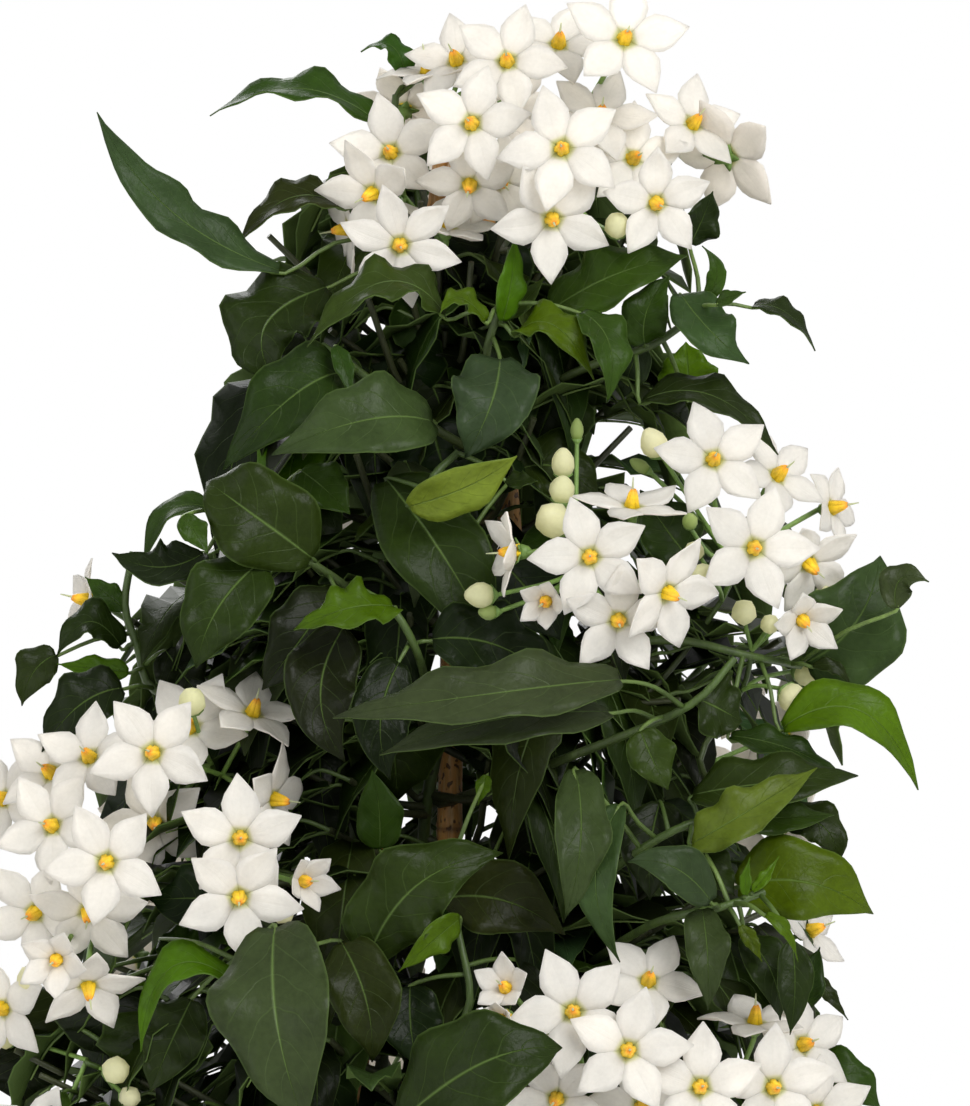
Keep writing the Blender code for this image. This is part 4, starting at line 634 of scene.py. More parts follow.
def cane_line(number: int) -> tuple[Vector, Vector]:
    """Return the two ends of a cane's centre line, through its place in the tie."""
    across, deep = CANE_FEET[number]
    angle = math.atan2(deep, across)
    held = Vector((
        TIE_CENTRE[0] * MM + TIE_SPREAD * math.cos(angle),
        TIE_CENTRE[1] * MM + TIE_SPREAD * math.sin(angle),
        TIE_HEIGHT,
    ))
    foot = Vector((across * MM, deep * MM, CANE_FOOT))
    return foot, foot + (held - foot) * (CANE_TOP - CANE_FOOT) / (TIE_HEIGHT - CANE_FOOT)


def twining_route(number: int) -> list[Vector]:
    """Return a main stem's centre line, out of the soil and round its cane."""
    foot, top = cane_line(number)
    heading = (top - foot).normalized()
    first = Vector((-foot.y, foot.x, 0)).normalized()
    second = heading.cross(first)
    route = []
    for i in range(TWINE_STEPS + 1):
        share = i / TWINE_STEPS
        height = MAIN_STEM_FOOT + (MAIN_STEM_TOP - MAIN_STEM_FOOT) * share
        centre = foot + (top - foot) * (height - foot.z) / (top.z - foot.z)
        angle = math.tau * TWINE_TURNS * share + number
        route.append(centre + TWINE_RADIUS * (math.cos(angle) * first + math.sin(angle) * second))
    return route


@dataclass
class Blade:
    """A leaf in the plant's own frame, with the root of its petiole."""

    root: Vector
    base: Vector
    middle: Vector
    tip: Vector
    face: Vector
    width: float
    fold: float
    tone: LeafTone = LeafTone.DARK

    def at(self, share: float) -> tuple[Vector, Vector, Vector, float]:
        """Find the rib at a share of the blade.

        Args:
            share: 0 at the base and 1 at the tip.

        Returns:
            The point, the side and the upward direction, and half the blade's width there.
        """
        control = 2 * self.middle - (self.base + self.tip) / 2
        rest = 1 - share
        centre = rest * rest * self.base + 2 * rest * share * control + share * share * self.tip
        heading = (rest * (control - self.base) + share * (self.tip - control)).normalized()
        upward = across_to(self.face, heading)
        shape = share**0.62 * rest**0.95 / (0.395**0.62 * 0.605**0.95)
        return centre, heading.cross(upward), upward, max(self.width / 2 * shape, PETIOLE_RADIUS)

    def corners(self) -> list[Vector]:
        """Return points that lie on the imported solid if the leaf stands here."""
        found = [self.tip]
        fold = math.radians(self.fold)
        for share in PROBE_SHARES:
            centre, side, upward, half = self.at(share)
            for sign in (-1, 1):
                found.append(centre + half * (sign * math.cos(fold) * side + math.sin(fold) * upward))
        return found


@dataclass
class Bloom:
    """A flower in the plant's own frame, with the root of its pedicel."""

    root: Vector
    middle: Vector
    face: Vector
    first: Vector
    radius: float
    opening: float
    petals: int
    bent: bool = False

    def at(self, reach: float, beside: float, angle: float, height: float = 0.0) -> Vector:
        """Find a point of a petal.

        Args:
            reach: Metres along the petal.
            beside: Metres beside its rib.
            angle: The petal's turn about the flower's axis, in radians.
            height: Metres above the petal.

        Returns:
            The point.
        """
        first = across_to(self.first, self.face)
        second = self.face.cross(first)
        out = math.cos(angle) * first + math.sin(angle) * second
        across = math.cos(angle) * second - math.sin(angle) * first
        tilt = math.radians(self.opening)
        along = math.sin(tilt) * out + math.cos(tilt) * self.face
        return self.middle + reach * along + beside * across + height * self.face

    def pedicel(self) -> list[Vector]:
        """Return the pedicel's centre line from its root to the calyx."""
        start = self.middle - 1.6 * MM * self.face
        if not self.bent:
            return [self.root, self.middle - 4 * MM * self.face, start]
        control = start - 0.35 * (self.root - start).length * self.face
        bend = 0.25 * start + 0.5 * control + 0.25 * self.root
        return [self.root, bend, start]

    def corners(self) -> list[Vector]:
        """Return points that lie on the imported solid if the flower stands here."""
        turn = math.tau / self.petals
        tips = [self.at(self.radius, 0, i * turn) for i in range(self.petals)]
        return tips + [self.at(PETAL_NOTCH * self.radius, 0, (i - 0.5) * turn) for i in range(self.petals)]


@dataclass
class BudSeat:
    """A bud in the plant's own frame, with the root of its pedicel."""

    root: Vector
    middle: Vector
    lean: Vector
    width: float
    length: float

    def base(self) -> Vector:
        """Return where the pedicel meets the bud."""
        return self.middle - self.length / 2 * self.lean

    def corners(self) -> list[Vector]:
        """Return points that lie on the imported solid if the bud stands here."""
        base = self.base()
        heading = ((base - self.root).normalized() + self.lean).normalized()
        towards = heading.orthogonal()
        shoulder = self.middle + 0.25 * self.length * self.lean
        return [base + self.length * self.lean] + ring(shoulder, self.lean, towards, 0.36 * self.width, 5)


@dataclass
class PackedNode:
    """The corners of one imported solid, which tell where its organs stand."""

    name: str
    reach: float = 0.02 * MM

    def __post_init__(self) -> None:
        """Sort the node's corners for searching."""
        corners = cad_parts[self.name].data.vertices
        self.tree = KDTree(len(corners))
        for corner in corners:
            self.tree.insert(corner.co, corner.index)
        self.tree.balance()

    def holds(self, points: Sequence[Vector], enough: int) -> bool:
        """Tell whether at least enough of the points are corners of the solid."""
        return sum(self.tree.find(point)[2] < self.reach for point in points) >= enough

    def first_held(self, variants: Iterator, enough: int) -> Blade | Bloom | BudSeat | None:
        """Pick the place, out of an organ's possible ones, that the solid has.

        Args:
            variants: The organ at each possible place.
            enough: How many of its corners must be the solid's.

        Returns:
            The organ there, or None if the solid has it nowhere.
        """
        for variant in variants:
            if self.holds(variant.corners(), enough):
                return variant
        return None


@dataclass
class Growth:
    """What grows in one node: its stem's route and its organs."""

    name: str
    route: list[Vector]
    blades: list[Blade] = field(default_factory=list)
    blooms: list[Bloom] = field(default_factory=list)
    buds: list[BudSeat] = field(default_factory=list)


@dataclass
class Plant:
    """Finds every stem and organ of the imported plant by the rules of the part's source."""

    seed: int = SEED
    shoots: list[Growth] = field(default_factory=list)
    sprays: list[Growth] = field(default_factory=list)
    mains: list[list[Vector]] = field(default_factory=list)

    def __post_init__(self) -> None:
        """Find the whole plant in the order in which it was grown."""
        self.nodes = {name: PackedNode(name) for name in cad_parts}
        self.draw = random.Random(self.seed)
        self.tone_draw = random.Random(self.seed + 1)
        self.mains = [twining_route(number) for number in range(3)]
        routes = {
            name: self.route(name, [seen(one) for one in places], self.mains, MAIN_STEM_RADIUS, SHOOT_RADIUS,
                             STEM_SIDES)
            for name, (places, leaves) in SHOOTS.items()
        }
        lines = list(routes.values())
        grown = self.grown_routes()
        for name, (places, flowers, buds) in SPRAYS.items():
            points = [seen(one) for one in places]
            route = self.route(name, points, lines, SHOOT_RADIUS, STALK_RADIUS, STALK_SIDES)
            organs = [self.seen_flower(flower, points[1:]) for flower in flowers]
            organs += [self.seen_bud(bud, points[1:]) for bud in buds]
            self.keep_spray(name, route, organs)
        for name, (places, leaves) in SHOOTS.items():
            variants = [
                self.seen_leaf(leaf, routes[name], i, LeafTone(SHOOT_TONES[name][i]))
                for i, leaf in enumerate(leaves)
            ]
            self.keep_shoot(name, routes[name], variants)
        for i, (azimuth, height, count) in enumerate(BACK_SPRAYS):
            self.grown_spray(f"spray_back_{i + 1}", azimuth, height, count)
        for name, azimuth, route, leaves in grown:
            self.grown_shoot(name, azimuth, route, leaves)

    def route(self, name: str, points: list[Vector], lines: list[list[Vector]], line_radius: float,
              radius: float, sides: int) -> list[Vector]:
        """Find a stem's route among the ones that start on the nearest line.

        Args:
            name: The stem's node.
            points: The places that it passes, the first of which may have moved.
            lines: The routes that it may start on.
            line_radius: The radius of the stems along them.
            radius: The stem's own radius.
            sides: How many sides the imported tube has.

        Returns:
            The route.
        """
        heading = (points[1] - points[0]).normalized()
        beside = heading.orthogonal().normalized()
        above = heading.cross(beside)
        for reach in ROUTE_REACHES:
            for direction in range(ROUTE_DIRECTIONS if reach else 1):
                angle = math.tau * direction / ROUTE_DIRECTIONS
                moved = points[0] + reach * MM * (math.cos(angle) * beside + math.sin(angle) * above)
                best = min((nearest_on(line, moved) for line in lines), key=lambda pair: pair[1])[0]
                start = best + (moved - best).normalized() * (line_radius + 2 * GAP)
                route = [start, moved] + points[1:]
                if self.nodes[name].holds(tube_corners(route, radius, sides), sides):
                    return route
        logging.warning("%s: no route found in the packed solid", name)
        return [points[0]] + points

    def keep_spray(self, name: str, route: list[Vector], organs: list[Iterator]) -> None:
        """Add a spray with the flowers and buds that its solid has."""
        growth = Growth(name, route)
        for variants in organs:
            organ = self.nodes[name].first_held(variants, 3)
            if isinstance(organ, Bloom):
                growth.blooms.append(organ)
            elif organ:
                growth.buds.append(organ)
        self.sprays.append(growth)

    def keep_shoot(self, name: str, route: list[Vector], blades: list[Iterator]) -> None:
        """Add a shoot with the leaves that its solid has."""
        found = [self.nodes[name].first_held(variants, 3) for variants in blades]
        self.shoots.append(Growth(name, route, [blade for blade in found if blade]))

    def seen_leaf(self, leaf: Leaf, route: list[Vector], number: int, tone: LeafTone) -> Iterator[Blade]:
        """Yield a listed leaf at each of its possible places along the line of sight."""
        for shift in SHIFTS:
            base = seen(leaf.base, shift)
            tip = seen(leaf.tip, shift)
            middle = (base + tip) / 2 + 0.06 * (tip - base).length * TO_EYE
            if leaf.mid:
                middle = seen(leaf.mid, shift)
            face = leaf.face[0] * RIGHT + leaf.face[1] * UP + leaf.face[2] * TO_EYE
            root = nearest_on(route, base)[0]
            root = root + (0.15 + 0.1 * (number % 4)) * MM * (base - root).normalized()
            yield Blade(root, base, middle, tip, face.normalized(), leaf.width * MM, leaf.fold, tone)

    def seen_flower(self, flower: Flower, hubs: list[Vector]) -> Iterator[Bloom]:
        """Yield a listed flower at each of its possible places along the line of sight."""
        face = turned_by(turned_by(TO_EYE, RIGHT, -flower.pitch), UP, flower.yaw)
        across = flower.tip[0] - flower.middle[0]
        upward = flower.middle[1] - flower.tip[1]
        first = turned_by(across * RIGHT + upward * UP, UP, flower.yaw * 0.5)
        bent = max(abs(flower.yaw), abs(flower.pitch)) < 36 and flower.size > 27
        for shift in SHIFTS:
            middle = seen(flower.middle, shift)
            root = min(hubs, key=lambda hub: (hub - middle).length)
            yield Bloom(root, middle, face, first, flower.size * MM / 2, flower.opening, flower.petals, bent)

    def seen_bud(self, bud: Bud, hubs: list[Vector]) -> Iterator[BudSeat]:
        """Yield a listed bud at each of its possible places along the line of sight."""
        lean = (bud.lean[0] * RIGHT + bud.lean[1] * UP + bud.lean[2] * TO_EYE).normalized()
        for shift in SHIFTS:
            middle = seen(bud.middle, shift)
            root = min(hubs, key=lambda hub: (hub - middle).length)
            yield BudSeat(root, middle, lean, bud.width * MM, bud.length * MM)

    def grown_routes(self) -> list[tuple[str, float, list[Vector], int]]:
        """Return the name, azimuth, route and number of leaves of each shoot that the rule grows."""
        found = []
        for i in range(BACK_SHOOTS):
            azimuth = BACK_FIRST + (BACK_LAST - BACK_FIRST) * ((i * 0.618) % 1)
            height = BACK_LOW + (BACK_HIGH - BACK_LOW) * (i + 0.5) / BACK_SHOOTS
            name = f"shoot_back_{i + 1:02d}"
            found.append((name, azimuth, self.grown_route(name, azimuth, height), BACK_LEAVES))
        for i in range(SKIRT_SHOOTS):
            azimuth = SKIRT_FIRST + (SKIRT_LAST - SKIRT_FIRST) * i / (SKIRT_SHOOTS - 1)
            name = f"shoot_skirt_{i + 1}"
            found.append((name, azimuth, self.grown_route(name, azimuth, SKIRT_HEIGHTS[i % 2]), SKIRT_LEAVES))
        return found

    def grown_route(self, name: str, azimuth: float, height: float) -> list[Vector]:
        """Return a grown shoot's route, from a main stem out to near the crown's surface."""
        reach = crown_radius(height)
        heart = Vector((0, 0, height))
        rise = SHOOT_RISE / 2 * VERTICAL
        inner = heart + SHOOT_INNER * reach * outward(azimuth) - rise
        end = heart + SHOOT_END * reach * outward(azimuth) + rise
        return self.route(name, [inner, end], self.mains, MAIN_STEM_RADIUS, SHOOT_RADIUS, STEM_SIDES)

    def grown_shoot(self, name: str, azimuth: float, route: list[Vector], leaves: int) -> None:
        """Add a shoot of the rule, its leaves to either side in turn."""
        blades = []
        for i in range(leaves):
            along = i / (leaves - 1)
            side = (100 - 78 * along) * (-1) ** i + self.draw.uniform(-10, 10)
            length = self.draw.uniform(42, 56) * MM
            width = self.draw.uniform(18, 24) * MM
            droop = math.radians(self.draw.uniform(15, 65))
            tone = LeafTone(self.tone_draw.choice(GROWN_TONES))
            blades.append(grown_blade(route, 0.5 + 0.5 * along, azimuth + side, length, width, droop, tone))
        self.keep_shoot(name, route, blades)

    def grown_bloom(self, hub: Vector, azimuth: float, number: int, count: int) -> Iterator[Bloom]:
        """Yield a flower of the rule at each of its possible places on a dome over its hub."""
        lean = math.tau * number / (count - 1)
        spread = 0.0 if number == count - 1 else self.draw.uniform(19, 25)
        size = self.draw.uniform(28, 31)
        first = Vector((self.draw.uniform(-1, 1), self.draw.uniform(-1, 1), self.draw.uniform(-1, 1)))
        petals = 6 if self.draw.random() < 0.15 else 5
        away = outward(azimuth).normalized()
        beside = Vector((-away.y, away.x, 0))
        for turn in TURNS:
            angle = lean + math.radians(turn)
            offset = spread * MM * (math.cos(angle) * beside + math.sin(angle) * VERTICAL)
            middle = hub + offset + (27 + 0.3 * abs(turn)) * MM * away
            yield Bloom(hub, middle, (away + 22 * offset).normalized(), first, size * MM / 2, 84, petals)

    def grown_spray(self, name: str, azimuth: float, height: float, count: int) -> None:
        """Add a spray of the rule."""
        reach = crown_radius(height)
        hub = height * VERTICAL + (0.86 * reach - 16 * MM) * outward(azimuth)
        inner = (height - 25 * MM) * VERTICAL + 0.35 * reach * outward(azimuth)
        route = self.route(name, [inner, hub], self.mains, MAIN_STEM_RADIUS, STALK_RADIUS, STALK_SIDES)
        self.keep_spray(name, route, [self.grown_bloom(hub, azimuth, i, count) for i in range(count)])


def grown_blade(route: list[Vector], share: float, azimuth: float, length: float, width: float,
                droop: float, tone: LeafTone) -> Iterator[Blade]:
    """Yield a leaf of the rule at each of its possible places.

    Args:
        route: Its shoot's route.
        share: Where on the route it grows.
        azimuth: The way it points, in degrees.
        length: Its length in metres.
        width: Its width in metres.
        droop: How far it hangs, in radians.
        tone: Its colour.

    Yields:
        The leaf, turned a little farther each time.
    """
    point = share * (len(route) - 1)
    at = min(int(point), len(route) - 2)
    stem = route[at].lerp(route[at + 1], min(point - at, 0.97))
    for shrink in LEAF_SHRINKS:
        for turn in TURNS:
            away = outward(azimuth + turn).normalized()
            base = stem + 9 * MM * away + 3 * MM * VERTICAL
            tip = base + shrink * length * (math.cos(droop) * away - math.sin(droop) * VERTICAL)
            middle = (base + tip) / 2 + 0.13 * shrink * length * (0.5 * away + 0.9 * VERTICAL)
            face = (0.75 * away + 0.7 * VERTICAL).normalized()
            yield Blade(stem + GAP * away, base, middle, tip, face, shrink * width, 14, tone)


Colour = tuple[float, float, float]
Place = Callable[[Vector], Vector]
Tint = Callable[[Vector], tuple[float, float, float, float]]


@dataclass
class Pen:
    """Writes one node tree, a node at a time."""

    tree: bpy.types.NodeTree

    def add(self, kind: str, inputs: dict, **settings) -> bpy.types.Node:
        """Add a shader node.

        Args:
            kind: The node's type without its prefix.
            inputs: What each of its inputs holds or is linked to, by name or number.
            settings: The node's own settings.

        Returns:
            The node.
        """
        made = self.tree.nodes.new(f"ShaderNode{kind}")
        for name, value in settings.items():
            setattr(made, name, value)
        for name, value in inputs.items():
            if isinstance(value, bpy.types.NodeSocket):
                self.tree.links.new(value, made.inputs[name])
            else:
                made.inputs[name].default_value = value
        return made

    def math(self, operation: str, *values) -> bpy.types.NodeSocket:
        """Return the result of a Math node."""
        return self.add("Math", dict(enumerate(values)), operation=operation).outputs[0]

    def mix(self, share, low, high) -> bpy.types.NodeSocket:
        """Return a mix of two colours."""
        low, high = (one if isinstance(one, bpy.types.NodeSocket) else (*one[:3], 1) for one in (low, high))
        return self.add("Mix", {0: share, 6: low, 7: high}, data_type="RGBA").outputs[2]

    def step(self, value, low: float, high: float, start: float = 0.0, end: float = 1.0) -> bpy.types.NodeSocket:
        """Return a smooth step from start to end as the value goes from low to high."""
        inputs = {0: value, 1: low, 2: high, 3: start, 4: end}
        return self.add("MapRange", inputs, interpolation_type="SMOOTHSTEP").outputs[0]

    def noise(self, place, scale: float, detail: float = 3.0) -> bpy.types.NodeSocket:
        """Return a noise value at a place."""
        return self.add("TexNoise", {"Vector": place, "Scale": scale, "Detail": detail}).outputs[0]

    def object_place(self, stretch: tuple[float, float, float] = (1, 1, 1)) -> bpy.types.NodeSocket:
        """Return the object coordinates, scaled along each axis."""
        place = self.add("TexCoord", {}).outputs["Object"]
        return self.add("Mapping", {"Vector": place, "Scale": stretch}).outputs[0]

    def bump(self, height, distance: float) -> bpy.types.NodeSocket:
        """Return a normal for a height from 0 to 1."""
        return self.add("Bump", {"Height": height, "Distance": distance, "Strength": 1.0}).outputs[0]


@dataclass
class Effects:
    """The node groups that several finishes share."""

    groups: dict[str, bpy.types.NodeTree] = field(default_factory=dict)

    def group(self, name: str, inputs: dict[str, str], outputs: dict[str, str]) -> tuple[Pen, dict, dict]:
        """Start a node group.

        Args:
            name: Its name.
            inputs: The type of each of its inputs.
            outputs: The type of each of its outputs.

        Returns:
            A pen for it, its inputs inside and the sockets of its output node.
        """
        tree = bpy.data.node_groups.new(name, "ShaderNodeTree")
        for way, sockets in (("INPUT", inputs), ("OUTPUT", outputs)):
            for socket, kind in sockets.items():
                tree.interface.new_socket(socket, in_out=way, socket_type=f"NodeSocket{kind}")
        self.groups[name] = tree
        inside = tree.nodes.new("NodeGroupInput").outputs
        outside = tree.nodes.new("NodeGroupOutput").inputs
        return Pen(tree), inside, outside

    def make(self) -> None:
        """Make every group."""
        self.make_mottle()
        self.make_veins()

    def make_mottle(self) -> None:
        """Make the group that varies a colour in blotches and grain, with a height for bumps."""
        pen, inside, outside = self.group(
            "mottle",
            {"Color": "Color", "Place": "Vector", "Size": "Float", "Contrast": "Float"},
            {"Color": "Color", "Height": "Float"},
        )
        scale = pen.math("DIVIDE", 1.0, inside["Size"])
        blotch = pen.noise(inside["Place"], scale, 2.0)
        grain = pen.noise(inside["Place"], pen.math("MULTIPLY", scale, 7.0), 3.0)
        both = pen.math("ADD", pen.math("MULTIPLY", blotch, 0.6), pen.math("MULTIPLY", grain, 0.4))
        around = pen.math("SUBTRACT", pen.math("MULTIPLY", both, 2.0), 1.0)
        factor = pen.math("ADD", pen.math("MULTIPLY", around, pen.math("MULTIPLY", inside["Contrast"], 2.2)), 1.0)
        colour = pen.add("VectorMath", {0: inside["Color"], "Scale": factor}, operation="SCALE").outputs[0]
        pen.tree.links.new(colour, outside["Color"])
        pen.tree.links.new(both, outside["Height"])

    def make_veins(self) -> None:
        """Make the group that finds a blade's rib, side veins and margin from its surface map."""
        pen, inside, outside = self.group(
            "veins",
            {"Surface": "Vector", "Rib": "Float", "Veins": "Float", "Slant": "Float", "Margin": "Float"},
            {"Rib": "Float", "Veins": "Float", "Margin": "Float", "Height": "Float"},
        )
        parts = pen.add("SeparateXYZ", {0: inside["Surface"]}).outputs
        beside = pen.math("ABSOLUTE", pen.math("SUBTRACT", pen.math("MULTIPLY", parts[1], 2.0), 1.0))
        narrow = pen.math("MULTIPLY", inside["Rib"], pen.math("SUBTRACT", 1.25, parts[0]))
        rib = pen.math("SUBTRACT", 1.0, pen.math("SMOOTH_MIN", pen.math("DIVIDE", beside, narrow), 1.0, 0.3))
        rib = pen.math("MAXIMUM", rib, 0.0)
        wobble = pen.math("MULTIPLY", pen.noise(pen.object_place(), 130.0, 1.0), 0.5)
        bend = pen.math("MULTIPLY", pen.math("POWER", beside, 1.35), inside["Slant"])
        phase = pen.math("MULTIPLY", pen.math("SUBTRACT", parts[0], bend), inside["Veins"])
        saw = pen.math("FRACT", pen.math("ADD", phase, wobble))
        ridge = pen.math("ABSOLUTE", pen.math("SUBTRACT", pen.math("MULTIPLY", saw, 2.0), 1.0))
        fade = pen.step(beside, 0.45, 0.95, 1.0, 0.2)
        veins = pen.math("MULTIPLY", pen.step(ridge, 0.90, 1.0), fade)
        start = pen.math("SUBTRACT", 1.0, inside["Margin"])
        margin = pen.math("DIVIDE", pen.math("MAXIMUM", pen.math("SUBTRACT", beside, start), 0.0), inside["Margin"])
        height = pen.math("SUBTRACT", pen.math("MULTIPLY", veins, -0.12), pen.math("MULTIPLY", rib, 0.4))
        for socket, value in (("Rib", rib), ("Veins", veins), ("Margin", margin), ("Height", height)):
            pen.tree.links.new(value, outside[socket])

    def use(self, pen: Pen, name: str, inputs: dict) -> dict[str, bpy.types.NodeSocket]:
        """Place a group in a material and return its outputs."""
        made = pen.add("Group", {}, node_tree=self.groups[name])
        for socket, value in inputs.items():
            if isinstance(value, bpy.types.NodeSocket):
                pen.tree.links.new(value, made.inputs[socket])
            else:
                made.inputs[socket].default_value = value
        return made.outputs


EFFECTS = Effects()


def new_finish(name: str, roughness: float) -> tuple[bpy.types.Material, Pen, bpy.types.Node]:
    """Start a material.

    Args:
        name: Its name.
        roughness: The roughness of its Principled shader.

    Returns:
        The material, a pen for its tree, and its Principled shader.
    """
    made = bpy.data.materials.new(f"{name}_dressed")
    made.use_nodes = True
    shader = made.node_tree.nodes["Principled BSDF"]
    shader.inputs["Roughness"].default_value = roughness
    return made, Pen(made.node_tree), shader


def through_light(pen: Pen, shader: bpy.types.Node, colour, share: float) -> None:
    """Let a share of the light pass through a thin surface, in a colour."""
    thin = pen.add("BsdfTranslucent", {"Color": colour}).outputs[0]
    mixed = pen.add("MixShader", {0: share, 1: shader.outputs[0], 2: thin}).outputs[0]
    pen.tree.links.new(mixed, pen.tree.nodes["Material Output"].inputs["Surface"])


@dataclass(frozen=True)
class LeafFinish:
    """Glossy green above, matt and paler below, with a pale rib, side veins and a thin margin."""

    rib: float = 0.045
    veins: float = 6.5
    slant: float = 0.30
    margin: float = 0.05
    pale: Colour = (0.17, 0.27, 0.07)
    below: Colour = (0.11, 0.17, 0.045)
    thin: float = 0.20

    def make(self) -> bpy.types.Material:
        """Return the material."""
        made, pen, shader = new_finish("leaf_green", 0.34)
        # the per-leaf tint holds each leaf's tone; some tones are painted light: shade, sheen and, in part, backlight
        tint = pen.add("Attribute", {}, attribute_name="tint")
        surface = pen.add("UVMap", {}, uv_map="surface").outputs[0]
        lines = EFFECTS.use(pen, "veins", {
            "Surface": surface, "Rib": self.rib, "Veins": self.veins, "Slant": self.slant, "Margin": self.margin,
        })
        body = EFFECTS.use(pen, "mottle", {
            "Color": tint.outputs["Color"], "Place": pen.object_place(), "Size": 0.011, "Contrast": 0.30,
        })
        lower = pen.mix(0.55, body["Color"], self.below)
        colour = pen.mix(tint.outputs["Alpha"], lower, body["Color"])
        light = pen.mix(0.6, colour, self.pale)
        colour = pen.mix(pen.math("MULTIPLY", lines["Veins"], 0.18), colour, light)
        colour = pen.mix(pen.math("MULTIPLY", lines["Margin"], 0.45), colour, light)
        colour = pen.mix(pen.math("MULTIPLY", lines["Rib"], 0.6), colour, self.pale)
        relief = pen.math("ADD", lines["Height"], pen.math("MULTIPLY", body["Height"], 0.9))
        side = pen.step(tint.outputs["Alpha"], 0, 1, 0.48, 0.24)
        rough = pen.math("ADD", pen.math("MULTIPLY", body["Height"], 0.25), side)
        pen.tree.links.new(colour, shader.inputs["Base Color"])
        pen.tree.links.new(rough, shader.inputs["Roughness"])
        pen.tree.links.new(pen.bump(relief, 0.0006), shader.inputs["Normal"])
        shader.inputs["Specular IOR Level"].default_value = 0.13
        glow = pen.add("VectorMath", {0: colour, 1: (2.2, 2.4, 0.9)}, operation="MULTIPLY").outputs[0]
        through_light(pen, shader, glow, self.thin)
        return made


@dataclass(frozen=True)
class PetalFinish:
    """Soft white petals with faint lines along them, among them a faint painted shade along each fold, and a
    green-yellow throat.
    """

    throat: Colour = (0.62, 0.66, 0.16)
    # painted shade: the warm grey that the petals' fold lines are darkened with
    painted_fold_shade: Colour = (0.80, 0.78, 0.70)
    thin: float = 0.48

    def make(self) -> bpy.types.Material:
        """Return the material."""
        made, pen, shader = new_finish("petal_white", 0.62)
        tint = pen.add("Attribute", {}, attribute_name="tint")
        surface = pen.add("UVMap", {}, uv_map="surface").outputs[0]
        lines = EFFECTS.use(pen, "veins", {
            "Surface": surface, "Rib": 0.13, "Veins": 0.9, "Slant": 1.8, "Margin": 0.12,
        })
        body = EFFECTS.use(pen, "mottle", {
            "Color": tint.outputs["Color"], "Place": pen.object_place(), "Size": 0.006, "Contrast": 0.07,
        })
        along = pen.add("SeparateXYZ", {0: surface}).outputs[0]
        inner = pen.step(along, 0.06, 0.17, 0.85, 0.0)
        # painted shade: darken the rib a little towards warm grey, as shade in the fold
        colour = pen.mix(pen.math("MULTIPLY", lines["Rib"], 0.06), body["Color"], self.painted_fold_shade)
        colour = pen.mix(pen.math("MULTIPLY", inner, tint.outputs["Alpha"]), colour, self.throat)
        streaks = pen.noise(pen.add("Mapping", {"Vector": surface, "Scale": (2.0, 34.0, 1.0)}).outputs[0], 1.0, 2.0)
        relief = pen.math("SUBTRACT", pen.math("MULTIPLY", streaks, 0.8), pen.math("MULTIPLY", lines["Rib"], 0.25))
        pen.tree.links.new(colour, shader.inputs["Base Color"])
        pen.tree.links.new(pen.bump(relief, 0.0002), shader.inputs["Normal"])
        shader.inputs["Sheen Weight"].default_value = 0.15
        through_light(pen, shader, colour, self.thin)
        return made


@dataclass(frozen=True)
class StemFinish:
    """Green to brownish stems with fine length-wise grain; the vertex tint gives their colour."""

    grain: float = 0.004

    def make(self) -> bpy.types.Material:
        """Return the material."""
        made, pen, shader = new_finish("stem_green", 0.5)
        tint = pen.add("Attribute", {}, attribute_name="tint")
        place = pen.object_place((1.0, 1.0, 0.35))
        body = EFFECTS.use(pen, "mottle", {
            "Color": tint.outputs["Color"], "Place": place, "Size": self.grain, "Contrast": 0.4,
        })
        pen.tree.links.new(body["Color"], shader.inputs["Base Color"])
        pen.tree.links.new(pen.bump(body["Height"], 0.0004), shader.inputs["Normal"])
        return made


@dataclass(frozen=True)
class AntherFinish:
    """Deep yellow anthers, a little orange towards their tips, with a powdery surface."""

    def make(self) -> bpy.types.Material:
        """Return the material."""
        made, pen, shader = new_finish("anther_yellow", 0.55)
        tint = pen.add("Attribute", {}, attribute_name="tint")
        body = EFFECTS.use(pen, "mottle", {
            "Color": tint.outputs["Color"], "Place": pen.object_place(), "Size": 0.0016, "Contrast": 0.3,
        })
        pen.tree.links.new(body["Color"], shader.inputs["Base Color"])
        pen.tree.links.new(pen.bump(body["Height"], 0.0002), shader.inputs["Normal"])
        return made


@dataclass(frozen=True)
class BambooFinish:
    """Orange-brown bamboo with pale streaks along it, dark specks and darker joints."""

    tan: Colour = (0.66, 0.33, 0.09)
    pale: Colour = (0.82, 0.56, 0.26)
    dark: Colour = (0.10, 0.042, 0.018)

    def make(self) -> bpy.types.Material:
        """Return the material."""
        made, pen, shader = new_finish("bamboo", 0.42)
        tint = pen.add("Attribute", {}, attribute_name="tint")
        body = EFFECTS.use(pen, "mottle", {
            "Color": (*self.tan, 1), "Place": pen.object_place((1, 1, 0.12)), "Size": 0.0035, "Contrast": 0.42,
        })
        streak = pen.step(pen.noise(pen.object_place((1, 1, 0.05)), 900.0, 2.0), 0.52, 0.68)
        specks = pen.step(pen.noise(pen.object_place((1, 1, 0.6)), 750.0, 1.0), 0.63, 0.70)
        colour = pen.mix(pen.math("MULTIPLY", streak, 0.6), body["Color"], self.pale)
        colour = pen.mix(pen.math("MULTIPLY", specks, 0.85), colour, self.dark)
        colour = pen.mix(pen.math("MULTIPLY", tint.outputs["Alpha"], 0.7), colour, self.dark)
        relief = pen.math("SUBTRACT", body["Height"], specks)
        pen.tree.links.new(colour, shader.inputs["Base Color"])
        pen.tree.links.new(pen.bump(relief, 0.0004), shader.inputs["Normal"])
        return made


